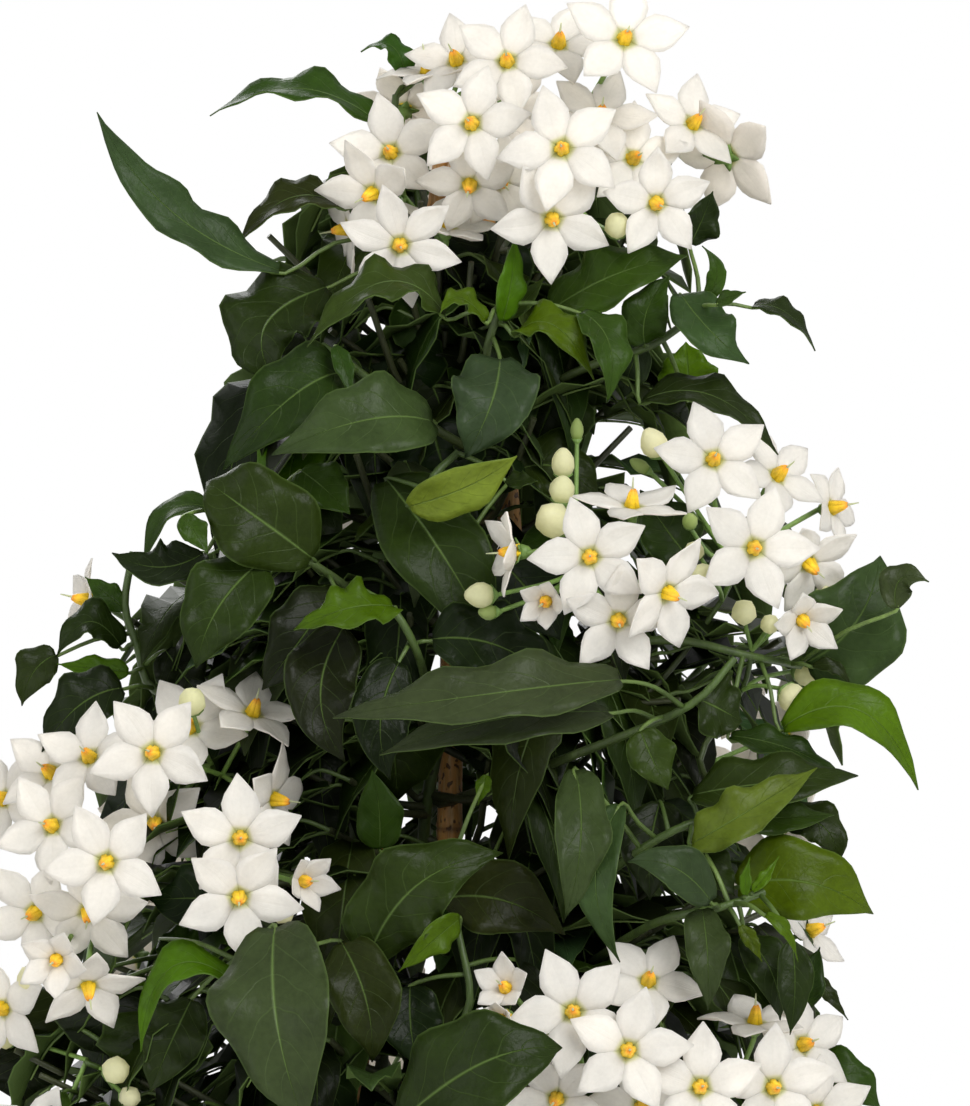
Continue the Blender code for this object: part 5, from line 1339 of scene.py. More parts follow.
@dataclass(frozen=True)
class ClayFinish:
    """Terracotta with a pale mineral bloom towards its foot, fine grit and turning lines."""

    clay: Colour = (0.44, 0.165, 0.075)
    bloom: Colour = (0.60, 0.43, 0.33)

    def make(self) -> bpy.types.Material:
        """Return the material."""
        made, pen, shader = new_finish("clay", 0.82)
        body = EFFECTS.use(pen, "mottle", {
            "Color": (*self.clay, 1), "Place": pen.object_place(), "Size": 0.022, "Contrast": 0.22,
        })
        place = pen.object_place()
        height = pen.add("SeparateXYZ", {0: place}).outputs[2]
        patches = pen.step(pen.noise(place, 28.0, 5.0), 0.48, 0.68)
        low = pen.step(height, 0.0, 0.115, 0.9, 0.22)
        colour = pen.mix(pen.math("MULTIPLY", patches, low), body["Color"], self.bloom)
        rings = pen.noise(pen.object_place((0.02, 0.02, 1)), 420.0, 2.0)
        grit = pen.noise(place, 900.0, 2.0)
        relief = pen.math("ADD", pen.math("MULTIPLY", rings, 0.6), pen.math("MULTIPLY", grit, 0.4))
        pen.tree.links.new(colour, shader.inputs["Base Color"])
        pen.tree.links.new(pen.bump(relief, 0.0006), shader.inputs["Normal"])
        return made


@dataclass(frozen=True)
class EarthFinish:
    """Dark crumbly potting soil with lighter fibres."""

    earth: Colour = (0.040, 0.025, 0.016)
    fibre: Colour = (0.17, 0.11, 0.06)

    def make(self) -> bpy.types.Material:
        """Return the material."""
        made, pen, shader = new_finish("earth", 0.95)
        place = pen.object_place()
        body = EFFECTS.use(pen, "mottle", {
            "Color": (*self.earth, 1), "Place": place, "Size": 0.006, "Contrast": 0.5,
        })
        fibres = pen.step(pen.noise(place, 520.0, 2.0), 0.60, 0.68)
        colour = pen.mix(pen.math("MULTIPLY", fibres, 0.7), body["Color"], self.fibre)
        pen.tree.links.new(colour, shader.inputs["Base Color"])
        pen.tree.links.new(pen.bump(body["Height"], 0.003), shader.inputs["Normal"])
        return made


@dataclass(frozen=True)
class RubberFinish:
    """Dark green rubber, a little dusty."""

    rubber: Colour = (0.020, 0.045, 0.022)

    def make(self) -> bpy.types.Material:
        """Return the material."""
        made, pen, shader = new_finish("tie_rubber", 0.6)
        body = EFFECTS.use(pen, "mottle", {
            "Color": (*self.rubber, 1), "Place": pen.object_place(), "Size": 0.002, "Contrast": 0.35,
        })
        pen.tree.links.new(body["Color"], shader.inputs["Base Color"])
        pen.tree.links.new(pen.bump(body["Height"], 0.0002), shader.inputs["Normal"])
        return made


class Finish(Enum):
    """The materials that a piece may wear."""

    LEAF = LeafFinish()
    PETAL = PetalFinish()
    STEM = StemFinish()
    ANTHER = AntherFinish()
    BAMBOO = BambooFinish()
    CLAY = ClayFinish()
    EARTH = EarthFinish()
    RUBBER = RubberFinish()


MATERIALS: dict[Finish, bpy.types.Material] = {}


def unit_shape(name: str, build: Callable[[bmesh.types.BMesh], None]) -> bpy.types.Mesh:
    """Make a shape that many organs share.

    Args:
        name: Its name.
        build: Makes it with bmesh operators in an empty mesh.

    Returns:
        The mesh, with an empty tint and a surface map of its own x and y.
    """
    shape = bmesh.new()
    shape.verts.layers.float_color.new("tint")
    surface = shape.loops.layers.uv.new("surface")
    build(shape)
    surface = shape.loops.layers.uv["surface"]
    for face in shape.faces:
        face.smooth = True
        for loop in face.loops:
            loop[surface].uv = (loop.vert.co.x, loop.vert.co.y / 2 + 0.5)
    made = bpy.data.meshes.new(name)
    shape.to_mesh(made)
    shape.free()
    return made


def unit_sheet(steps: int, across: int) -> bpy.types.Mesh:
    """Return a thin sheet: x from 0 to 1 along it, y from -1 to 1 across, z from -0.5 to 0.5."""
    def build(shape: bmesh.types.BMesh) -> None:
        """Make it from a grid."""
        bmesh.ops.create_grid(shape, x_segments=steps, y_segments=across, size=0.5)
        bmesh.ops.solidify(shape, geom=shape.faces[:], thickness=1.0)
        bmesh.ops.translate(shape, verts=shape.verts, vec=(0.5, 0, 0.5))
        bmesh.ops.scale(shape, verts=shape.verts, vec=(1, 2, 1))
    return unit_shape(f"sheet_{steps}_{across}", build)


def unit_cone(sides: int, top: float) -> bpy.types.Mesh:
    """Return a cone of radius 1 at z 0 that narrows to this radius at z 1."""
    def build(shape: bmesh.types.BMesh) -> None:
        """Make it, with a rounded top."""
        bmesh.ops.create_cone(shape, cap_ends=True, segments=sides, radius1=1, radius2=top, depth=1)
        bmesh.ops.translate(shape, verts=shape.verts, vec=(0, 0, 0.5))
        rim = [edge for edge in shape.edges if all(vert.co.z > 0.99 for vert in edge.verts)]
        bmesh.ops.bevel(shape, geom=rim, offset=top * 0.45, segments=1, profile=0.5, affect="EDGES", material=-1)
    return unit_shape(f"cone_{sides}", build)


def unit_egg() -> bpy.types.Mesh:
    """Return an egg of radius 1 across and length 1, its middle at z 0."""
    def build(shape: bmesh.types.BMesh) -> None:
        """Make it from a sphere, drawn out to a blunt point."""
        bmesh.ops.create_uvsphere(shape, u_segments=10, v_segments=7, radius=1)
        for vert in shape.verts:
            slim = 1 - 0.28 * max(vert.co.z, 0) - 0.1 * max(-vert.co.z, 0)
            vert.co = (vert.co.x * slim, vert.co.y * slim, vert.co.z / 2)
    return unit_shape("egg", build)


def smooth_route(route: Sequence[Vector], steps: int = 4) -> list[Vector]:
    """Return a smooth line through a route's points."""
    points = [2 * route[0] - route[1], *route, 2 * route[-1] - route[-2]]
    found = []
    for before, low, high, after in zip(points, points[1:], points[2:], points[3:]):
        for i in range(steps):
            t = i / steps
            found.append(0.5 * (2 * low + (high - before) * t + (2 * before - 5 * low + 4 * high - after) * t * t
                                + (3 * low - before - 3 * high + after) * t * t * t))
    return found + [route[-1].copy()]


@dataclass
class Stalk:
    """A stem, petiole or pedicel: its smooth route and the radius and colour at its two ends."""

    route: list[Vector]
    radii: tuple[float, float]
    colours: tuple[Colour, Colour]


@dataclass
class Piece:
    """A finished piece in the making: organs are set into one mesh, in the plant's own frame."""

    name: str
    finishes: list[Finish]
    shape: bmesh.types.BMesh = field(default_factory=bmesh.new)

    def __post_init__(self) -> None:
        """Give the mesh its tint and its surface map."""
        self.shape.verts.layers.float_color.new("tint")
        self.shape.loops.layers.uv.new("surface")

    def set(self, template: bpy.types.Mesh, place: Place, tint: Tint, finish: Finish) -> None:
        """Set a shape into the piece.

        Args:
            template: The shape.
            place: Gives each of its points its place.
            tint: Gives each of its points its colour, and a mark in alpha.
            finish: The material it wears.
        """
        points = len(self.shape.verts)
        faces = len(self.shape.faces)
        self.shape.from_mesh(template)
        self.shape.verts.ensure_lookup_table()
        self.shape.faces.ensure_lookup_table()
        layer = self.shape.verts.layers.float_color["tint"]
        for vert in self.shape.verts[points:]:
            unit = vert.co.copy()
            vert[layer] = tint(unit)
            vert.co = place(unit)
        for face in self.shape.faces[faces:]:
            face.material_index = self.finishes.index(finish)
            face.smooth = True

    def set_stalks(self, stalks: Sequence[Stalk], sides: int = 1) -> None:
        """Set round stalks into the piece, by a curve with a round section that is made a mesh."""
        for stalk in stalks:
            curve = bpy.data.curves.new("stalk", "CURVE")
            curve.dimensions = "3D"
            curve.bevel_depth = 1.0
            curve.bevel_resolution = sides
            curve.use_fill_caps = True
            spline = curve.splines.new("POLY")
            spline.points.add(len(stalk.route) - 1)
            last = len(stalk.route) - 1
            for i, point in enumerate(stalk.route):
                spline.points[i].co = (*point, 1)
                spline.points[i].radius = stalk.radii[0] + (stalk.radii[1] - stalk.radii[0]) * i / last
            holder = bpy.data.objects.new("stalk", curve)
            made = bpy.data.meshes.new_from_object(holder)
            made.color_attributes.new("tint", "FLOAT_COLOR", "POINT")
            made.uv_layers.new(name="surface")
            start, end = stalk.route[0], stalk.route[-1]
            length = (end - start).length_squared

            def tint(unit: Vector) -> tuple[float, float, float, float]:
                """Blend the two colours along the stalk."""
                share = min(max((unit - start).dot(end - start) / length, 0), 1)
                pair = zip(*stalk.colours)
                return (*(low + (high - low) * share for low, high in pair), 1)

            self.set(made, lambda unit: unit, tint, Finish.STEM)
            bpy.data.objects.remove(holder)
            bpy.data.curves.remove(curve)
            bpy.data.meshes.remove(made)

    def finish(self, slot: str, nodes: Sequence[str] = ()) -> bpy.types.Object:
        """Make the piece an object that rides on the plant and stands for its nodes.

        Args:
            slot: The name of a material slot; not used.
            nodes: The CAD nodes that it replaces.

        Returns:
            The object.
        """
        data = bpy.data.meshes.new(self.name)
        self.shape.to_mesh(data)
        self.shape.free()
        for finish in self.finishes:
            data.materials.append(MATERIALS[finish])
        made = bpy.data.objects.new(self.name, data)
        bpy.context.scene.collection.objects.link(made)
        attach(made, "root")
        if nodes:
            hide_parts(*nodes)
        logging.info("%s: %d faces", self.name, len(data.polygons))
        return made


YOUNG_STEM = (0.05, 0.09, 0.014)
OLD_STEM = (0.035, 0.042, 0.014)
PETIOLE_GREEN = (0.048, 0.085, 0.013)
RIB_PALE = (0.15, 0.23, 0.05)
CALYX_GREEN = (0.14, 0.24, 0.05)
PEDICEL_GREEN = (0.20, 0.34, 0.07)


@dataclass
class Dresser:
    """Sets leaves, flowers and buds into pieces, each with its own small differences."""

    seed: int = 3
    leaf_thickness: float = 0.32 * MM
    petal_thickness: float = 0.42 * MM

    def __post_init__(self) -> None:
        """Make the shapes that the organs share."""
        self.draw = random.Random(self.seed)
        self.fine_sheet = unit_sheet(18, 6)
        self.plain_sheet = unit_sheet(10, 4)
        self.inner_sheet = unit_sheet(8, 2)
        self.petal_sheet = unit_sheet(6, 4)
        self.small_sheet = unit_sheet(3, 2)
        self.anther = unit_cone(6, 0.55)
        self.thread = unit_cone(6, 0.9)
        self.cup = unit_cone(10, 0.6)
        self.egg = unit_egg()

    def leaf(self, piece: Piece, blade: Blade, sheet: bpy.types.Mesh) -> list[Stalk]:
        """Set a leaf into a piece.

        Args:
            piece: The piece.
            blade: Where the leaf stands.
            sheet: The sheet that it is made of.

        Returns:
            The stalk that carries it.
        """
        draw = self.draw
        # the tone's colour; some tones are painted light: shade (s), sheen (g) and, in part, backlight (b)
        base_colour = [one * draw.uniform(0.82, 1.2) for one in LEAF_COLOURS[blade.tone]]
        wave = draw.uniform(0.12, 0.32)
        beats = draw.uniform(2.0, 3.4)
        phase = draw.uniform(0, math.tau)
        other = draw.uniform(1.5, 4.5)
        sway = draw.uniform(-0.05, 0.05)
        curl = draw.uniform(0.0, 0.35)
        fold = math.radians(blade.fold)
        length = (blade.tip - blade.base).length

        def place(unit: Vector) -> Vector:
            """Lay a point of the sheet on the leaf."""
            along = min(max(unit.x, 0), 1)
            centre, side, upward, half = blade.at(min(max(along, 0.02), 0.985))
            half = max(half * (1 - 0.5 * max(along - 0.62, 0)) - (PETIOLE_RADIUS if along > 0.5 else 0) * 0.6, 0.12 * MM)
            if along > 0.985:
                centre, half = blade.tip, 0.1 * MM
            out = abs(unit.y)
            edge = math.sin(math.tau * beats * along + phase + (other if unit.y > 0 else 0))
            rise = half * (math.sin(fold) * out**1.3 + wave * out**2 * edge - curl * fold * out**4)
            bend = sway * length * math.sin(math.pi * along)
            beside = half * math.cos(fold) * unit.y * (1 + 0.05 * edge) + bend
            return centre - beside * side + (rise + unit.z * self.leaf_thickness) * upward

        def tint(unit: Vector) -> tuple[float, float, float, float]:
            """Colour the leaf, and mark its upper side."""
            return (*base_colour, 1.0 if unit.z > 0 else 0.0)

        piece.set(sheet, place, tint, Finish.LEAF)
        sink = 0.55 * MM
        rib = [blade.at(share)[0] - sink * blade.at(share)[2]
               + sway * length * math.sin(math.pi * share) * -1 * blade.at(share)[1] for share in (0.15, 0.35, 0.6)]
        rise = (blade.base - blade.root) * 0.5 + 0.12 * (blade.base - blade.root).length * blade.face
        route = [blade.root, blade.root + rise, blade.base - sink * blade.face, *rib]
        return [Stalk(smooth_route(route, 3), (0.66 * MM, 0.22 * MM), (PETIOLE_GREEN, RIB_PALE))]

    def flower(self, piece: Piece, bloom: Bloom) -> list[Stalk]:
        """Set a flower into a piece.

        Args:
            piece: The piece.
            bloom: Where the flower stands.

        Returns:
            The stalk that carries it.
        """
        draw = self.draw
        count = bloom.petals
        turn = math.tau / count
        radius = bloom.radius
        notch = 0.40 * radius
        for i in range(count):
            angle = i * turn
            lean = draw.uniform(-0.10, 0.10)
            keel = draw.uniform(0.16, 0.42)
            back = draw.uniform(-0.06, 0.20)
            twist = draw.uniform(-0.22, 0.22)
            wave = draw.uniform(0.05, 0.14)
            phase = draw.uniform(0, math.tau)
            bright = draw.uniform(0.93, 1.0)

            def place(unit: Vector) -> Vector:
                """Lay a point of the sheet on the petal."""
                reach = radius * (0.05 + 0.95 * unit.x)
                free = min(max((reach - notch) / (radius - notch), 0), 1)
                wide = min(reach, notch) * math.tan(turn / 2) * 1.03
                if free:
                    wide = max((wide + 0.50 * radius * free) * (1 - free) ** 1.25, 0.12 * MM)
                out = abs(unit.y)
                ripple = wave * out * math.sin(7 * unit.x + phase)
                rise = min(free * 2.2, 1) * wide * (twist * unit.y - keel * (1 - out**1.4) + ripple)
                rise += radius * (0.10 * unit.x - back * free**2) + unit.z * self.petal_thickness
                return bloom.at(reach, wide * unit.y, angle + lean * free, rise)

            def tint(unit: Vector) -> tuple[float, float, float, float]:
                """Colour the petal, its back a little creamier."""
                warm = 0.97 if unit.z > 0 else 0.9
                return 0.95 * bright, 0.945 * bright * (1 + warm) / 2, 0.91 * bright * warm, 1.0

            piece.set(self.petal_sheet, place, tint, Finish.PETAL)
        first = across_to(bloom.first, bloom.face)
        second = bloom.face.cross(first)

        def upright(scale: float, length: float, offset: Vector, lean: Vector) -> Place:
            """Stand a cone on the flower's middle."""
            return lambda unit: (bloom.middle + offset + scale * (unit.x * first + unit.y * second)
                                 + length * unit.z * (bloom.face + lean))

        for i in range(5):
            angle = math.tau * i / 5
            away = math.cos(angle) * first + math.sin(angle) * second
            warm = draw.uniform(0.85, 1.1)
            piece.set(self.anther, upright(1.15 * MM, 5.0 * MM, 1.1 * MM * away - 0.2 * MM * bloom.face, -0.15 * away),
                      lambda unit: (0.93 * warm, (0.66 - 0.30 * unit.z**4) * warm, 0.02, 1), Finish.ANTHER)
        piece.set(self.thread, upright(0.34 * MM, 7.8 * MM, Vector(), 0.05 * first),
                  lambda unit: (0.80, 0.84, 0.55, 0.0), Finish.PETAL)
        piece.set(self.cup, upright(2.1 * MM, -3.0 * MM, -0.3 * MM * bloom.face, Vector()),
                  lambda unit: (*CALYX_GREEN, 1), Finish.STEM)
        for i in range(count):
            angle = (i + 0.5) * turn

            def sepal(unit: Vector) -> Vector:
                """Lay a point of the sheet on a sepal behind the flower."""
                reach = (0.8 + 3.0 * unit.x) * MM
                wide = 1.1 * MM * (1 - unit.x**2) + 0.1 * MM
                return bloom.at(reach, wide * unit.y, angle, (-0.9 + 0.35 * unit.z) * MM)

            piece.set(self.small_sheet, sepal, lambda unit: (*CALYX_GREEN, 0.0), Finish.STEM)
        route = smooth_route(bloom.pedicel(), 4)
        return [Stalk(route, (0.62 * MM, 0.75 * MM), (PEDICEL_GREEN, CALYX_GREEN))]

    def bud(self, piece: Piece, seat: BudSeat) -> list[Stalk]:
        """Set a bud into a piece.

        Args:
            piece: The piece.
            seat: Where the bud stands.

        Returns:
            The stalk that carries it.
        """
        green = 0.85 if seat.width < 4.2 * MM else self.draw.uniform(0.0, 0.12)
        first = across_to(RIGHT, seat.lean)
        second = seat.lean.cross(first)
        turned = self.draw.uniform(0, math.tau)

        def place(unit: Vector) -> Vector:
            """Lay a point of the egg on the bud, pinched at its five seams."""
            angle = math.atan2(unit.y, unit.x) + turned
            pinch = 1 + 0.05 * math.cos(5 * angle)
            level = seat.width / 2 * pinch * (unit.x * first + unit.y * second)
            return seat.middle + level + seat.length * unit.z * seat.lean

        def tint(unit: Vector) -> tuple[float, float, float, float]:
            """Colour the bud, greener towards its foot."""
            share = min(1.0, green + max(-unit.z - 0.12, 0) * 1.2)
            pair = zip((0.93, 0.90, 0.60), (0.38, 0.52, 0.12))
            return (*(white + (leaf - white) * share for white, leaf in pair), 0.0)

        piece.set(self.egg, place, tint, Finish.PETAL)
        base = seat.base()
        lean = seat.lean
        piece.set(self.cup, lambda unit: (base + 0.36 * seat.width * (1.15 - 0.75 * unit.z) * (unit.x * first + unit.y * second)
                                          + (0.16 * seat.length - 2.0 * MM * unit.z) * lean),
                  lambda unit: (*CALYX_GREEN, 1), Finish.STEM)
        middle = (seat.root + base) / 2 - 0.12 * (base - seat.root).length * lean
        return [Stalk(smooth_route([seat.root, middle, base], 4), (0.6 * MM, 0.55 * MM), (PEDICEL_GREEN, CALYX_GREEN))]

    def dress(self, growth: Growth, fine: bool) -> bpy.types.Object:
        """Make one node's piece, with its stem and all that grows on it."""
        piece = Piece(growth.name + "_dressed", [Finish.STEM, Finish.LEAF, Finish.PETAL, Finish.ANTHER])
        spray = bool(growth.blooms or growth.buds)
        width = STALK_RADIUS if spray else SHOOT_RADIUS
        stem = smooth_route(growth.route, 4)
        stalks = [Stalk(stem, (0.95 * width, 0.65 * width), (OLD_STEM, YOUNG_STEM))]
        for blade in growth.blades:
            stalks += self.leaf(piece, blade, self.fine_sheet if fine else self.plain_sheet)
        for bloom in growth.blooms:
            stalks += self.flower(piece, bloom)
        for seat in growth.buds:
            stalks += self.bud(piece, seat)
        piece.set_stalks(stalks)
        return piece.finish("petal_white" if spray else "leaf_green", [growth.name])


@dataclass
class Thicket:
    """Twigs with leaves inside the crown, rooted on the main stems, that close it to the view; their leaves are mostly
    painted near-black as the shade deep inside the crown.
    """

    plant: Plant
    dresser: Dresser
    seed: int = 5
    twigs: int = 112
    leaves: int = 6
    lowest: float = 0.158
    highest: float = 0.462
    sides: tuple[tuple[int, int, int], ...] = (
        (0, 430, 600), (60, 400, 640), (130, 380, 710), (230, 250, 690), (300, 240, 740), (360, 270, 720),
        (440, 250, 740), (480, 240, 700), (560, 150, 850), (640, 100, 880), (700, 60, 770), (780, 60, 830),
        (860, 100, 860), (950, 60, 830), (990, 10, 830), (1040, -10, 830), (1106, -10, 850), (1600, 0, 900),
    )
    gaps: tuple[tuple[int, int, int, int], ...] = (
        (340, 505, 26, 24), (342, 596, 24, 22), (415, 840, 24, 18), (463, 818, 12, 12), (622, 755, 30, 28),
        (740, 762, 34, 22), (617, 461, 28, 26), (630, 319, 26, 28), (736, 398, 28, 24), (800, 745, 40, 20),
        (825, 689, 34, 20), (846, 856, 18, 40), (767, 837, 30, 14), (272, 472, 30, 12), (708, 225, 14, 22),
        (721, 283, 10, 22), (534, 964, 8, 18), (115, 659, 26, 8), (175, 504, 30, 18), (855, 1067, 22, 26),
    )
    windows: tuple[tuple[int, int, int, int], ...] = ((450, 802, 34, 62), (472, 534, 26, 32), (442, 970, 16, 60))
    screens: tuple[tuple[int, int, int], ...] = (
        (440, 245, 22), (475, 275, 20), (410, 290, 24), (445, 330, 22), (400, 360, 26), (458, 400, 20),
        (425, 440, 22), (385, 400, 26), (500, 305, 22), (545, 335, 24), (560, 270, 22), (330, 330, 30),
        (365, 440, 30), (379, 561, 36), (350, 640, 40), (400, 640, 38), (420, 720, 40), (485, 700, 40),
        (380, 730, 40), (350, 780, 45), (330, 830, 45), (485, 880, 48), (530, 780, 45), (560, 860, 48),
        (520, 930, 50), (562, 966, 50), (600, 700, 45), (659, 658, 38), (680, 700, 42), (640, 620, 38),
        (300, 960, 50), (200, 880, 50), (230, 1000, 60), (170, 1000, 60), (100, 1040, 60), (40, 1075, 60),
        (80, 1090, 60), (140, 1080, 62), (15, 1050, 52), (330, 1040, 60), (410, 1010, 58), (750, 930, 45),
        (780, 640, 30), (700, 900, 45), (650, 930, 48), (250, 700, 40), (280, 760, 42), (250, 620, 36),
        (200, 600, 34), (300, 540, 32), (500, 620, 38), (540, 700, 42), (480, 1060, 55), (600, 1040, 55),
    )

    veils: tuple[tuple[tuple[int, int, int], tuple[int, int, int], float], ...] = (
        ((428, 222, 16), (452, 300, 15), 24), ((502, 232, 16), (470, 312, 15), 24),
        ((424, 285, 17), (456, 368, 16), 25), ((500, 292, 17), (462, 372, 16), 25),
        ((418, 345, 19), (450, 430, 18), 26), ((506, 360, 18), (472, 440, 18), 25),
        ((430, 412, 21), (456, 498, 21), 26), ((508, 425, 20), (480, 500, 21), 22),
        ((400, 250, 16), (402, 330, 16), 25), ((385, 330, 19), (400, 420, 19), 27),
        ((540, 300, 18), (520, 380, 18), 25), ((560, 380, 19), (530, 455, 19), 24),
        ((300, 330, 18), (345, 430, 20), 26), ((385, 560, 30), (372, 650, 32), 30),
        ((395, 700, 34), (398, 800, 30), 26), ((505, 690, 20), (505, 790, 20), 28),
        ((300, 980, 50), (320, 1060, 50), 30), ((60, 985, 45), (55, 1060, 45), 26), ((20, 1040, 45), (25, 1100, 45), 24),
        ((110, 985, 55), (120, 1060, 55), 28), ((160, 1010, 60), (150, 1090, 60), 28),
    )

    def allowed(self, point: Vector, limit: float) -> bool:
        """Tell whether a point stays inside the photograph's outline, off its gaps and behind the limit."""
        if not all(low + 2 * MM < one < high - 2 * MM for low, one, high in zip(PACKED_BOX[0], point, PACKED_BOX[1])):
            return False
        across, down, near = pixel_of(point)
        if near > limit:
            return False
        open_places = self.gaps + (self.windows if near > -8 * MM else ())
        if any(((across - x) / w) ** 2 + ((down - y) / h) ** 2 < 1 for x, y, w, h in open_places):
            return False
        for (high, left, right), (low, next_left, next_right) in zip(self.sides, self.sides[1:]):
            if high <= down < low:
                share = (down - high) / (low - high)
                return left + (next_left - left) * share + 8 < across < right + (next_right - right) * share - 8
        return False

    def grow(self) -> list[Growth]:
        """Return the twigs."""
        draw = random.Random(self.seed)
        found = []
        for i in range(self.twigs):
            share = (i + 0.5) / self.twigs
            height = self.lowest + (self.highest - self.lowest) * share**1.1
            azimuth = 137.5 * i + draw.uniform(-12, 12)
            reach = crown_radius(height)
            front = -outward(azimuth).y
            out = 0.62 if front > 0.3 and height > 0.232 else 0.85
            limit = (0.55 if height > 0.232 else 0.95) * reach
            heart = Vector((0, 0, height))
            out *= draw.uniform(0.7, 1.0)
            while out > 0.32 and not self.allowed(heart + out * reach * outward(azimuth) + 0.012 * VERTICAL, limit):
                out -= 0.06
            end = heart + out * reach * outward(azimuth) + 0.012 * VERTICAL
            inner = heart + 0.3 * reach * outward(azimuth) - 0.012 * VERTICAL
            start = min((nearest_on(line, inner) for line in self.plant.mains), key=lambda pair: pair[1])[0]
            route = smooth_route([start, inner, end], 3)
            growth = Growth(f"inner_{i + 1:02d}", route)
            for k in range(self.leaves):
                blade = self.leaf(route, azimuth, k, draw, limit)
                if blade:
                    growth.blades.append(blade)
            found.append(growth)
        found += [self.screen(i, place, draw) for i, place in enumerate(self.screens)]
        return found + [self.veil(i, *row) for i, row in enumerate(self.veils)]

    def veil(self, number: int, base: tuple[int, int, int], tip: tuple[int, int, int], width: float) -> Growth:
        """Return a twig with one dark leaf that hangs before the canes; two in three are painted shade, near-black.

        Args:
            number: Which of these twigs it is.
            base: Where the leaf starts, as in the tables.
            tip: Where it ends.
            width: Its width in millimetres.

        Returns:
            The twig.
        """
        low, high = seen(tip), seen(base)
        start = min((nearest_on(line, high) for line in self.plant.mains), key=lambda pair: pair[1])[0]
        end = start.lerp(high, 0.7)
        middle = (high + low) / 2 + 0.1 * (high - low).length * TO_EYE
        # painted shade: two in three veils are near-black, the rest dark
        tone = LeafTone("ssd"[number % 3])
        blade = Blade(end, high, middle, low, (TO_EYE + 0.35 * VERTICAL).normalized(), width * MM, 12, tone)
        return Growth(f"veil_{number + 1:02d}", smooth_route([start, start.lerp(end, 0.5), end], 3), [blade])

    def screen(self, number: int, place: tuple[int, int, int], draw: random.Random) -> Growth:
        """Return a twig that hides the heart of the crown at a place of the photograph, its leaves mostly painted
        near-black as shade.

        Args:
            number: Which of these twigs it is.
            place: Where its end is, as in the tables.
            draw: Gives the small differences.

        Returns:
            The twig.
        """
        end = seen(place)
        low = end - 14 * MM * VERTICAL
        start = min((nearest_on(line, low) for line in self.plant.mains), key=lambda pair: pair[1])[0]
        middle = start.lerp(end, 0.5) - 3 * MM * VERTICAL
        away = end - start
        azimuth = math.degrees(math.atan2(away.y, away.x))
        growth = Growth(f"screen_{number + 1:02d}", smooth_route([start, middle, end], 3))
        for k in range(5):
            blade = self.leaf(growth.route, azimuth, k + 1, draw, (place[2] + 16) * MM)
            if blade:
                growth.blades.append(blade)
        return growth

    def leaf(self, route: list[Vector], azimuth: float, number: int, draw: random.Random,
             limit: float) -> Blade | None:
        """Find a twig's leaf that stays where inner leaves may be.

        Args:
            route: The twig's route.
            azimuth: The way the twig points, in degrees.
            number: Which of its leaves it is.
            draw: Gives the small differences.
            limit: How far in front of the axis it may stand, in metres.

        Returns:
            The leaf, or None if no place suits it.
        """
        along = 0.4 + 0.6 * number / (self.leaves - 1)
        for attempt in range(5):
            side = (105 - 80 * along) * (-1) ** number + draw.uniform(-35, 35)
            length = draw.uniform(32, 50) * MM
            width = draw.uniform(0.36, 0.46) * length
            droop = math.radians(draw.uniform(-15, 70))
            # mostly painted shade (s): inner leaves are coloured near-black for the shadow deep in the crown
            tone = LeafTone(draw.choice("ssssdddmg"))
            blade = next(grown_blade(route, along, azimuth + side, length, width, droop, tone))
            blade.fold = draw.uniform(8, 20)
            spots = [blade.tip, blade.base] + blade.corners()[3:7]
            if all(self.allowed(spot, limit) for spot in spots):
                return blade
        return None

    def make(self) -> None:
        """Make the twigs as three pieces, one for each third of the crown's height."""
        growths = self.grow()
        growths.sort(key=lambda growth: growth.route[-1].z)
        third = math.ceil(len(growths) / 3)
        for number in range(3):
            piece = Piece(f"inner_twigs_{number + 1}", [Finish.STEM, Finish.LEAF])
            stalks = []
            for growth in growths[number * third:(number + 1) * third]:
                if not growth.blades:
                    continue
                stalks.append(Stalk(growth.route, (1.2 * MM, 0.8 * MM), (OLD_STEM, OLD_STEM)))
                for blade in growth.blades:
                    stalks += self.dresser.leaf(piece, blade, self.dresser.inner_sheet)
            piece.set_stalks(stalks)
            piece.finish("leaf_green")


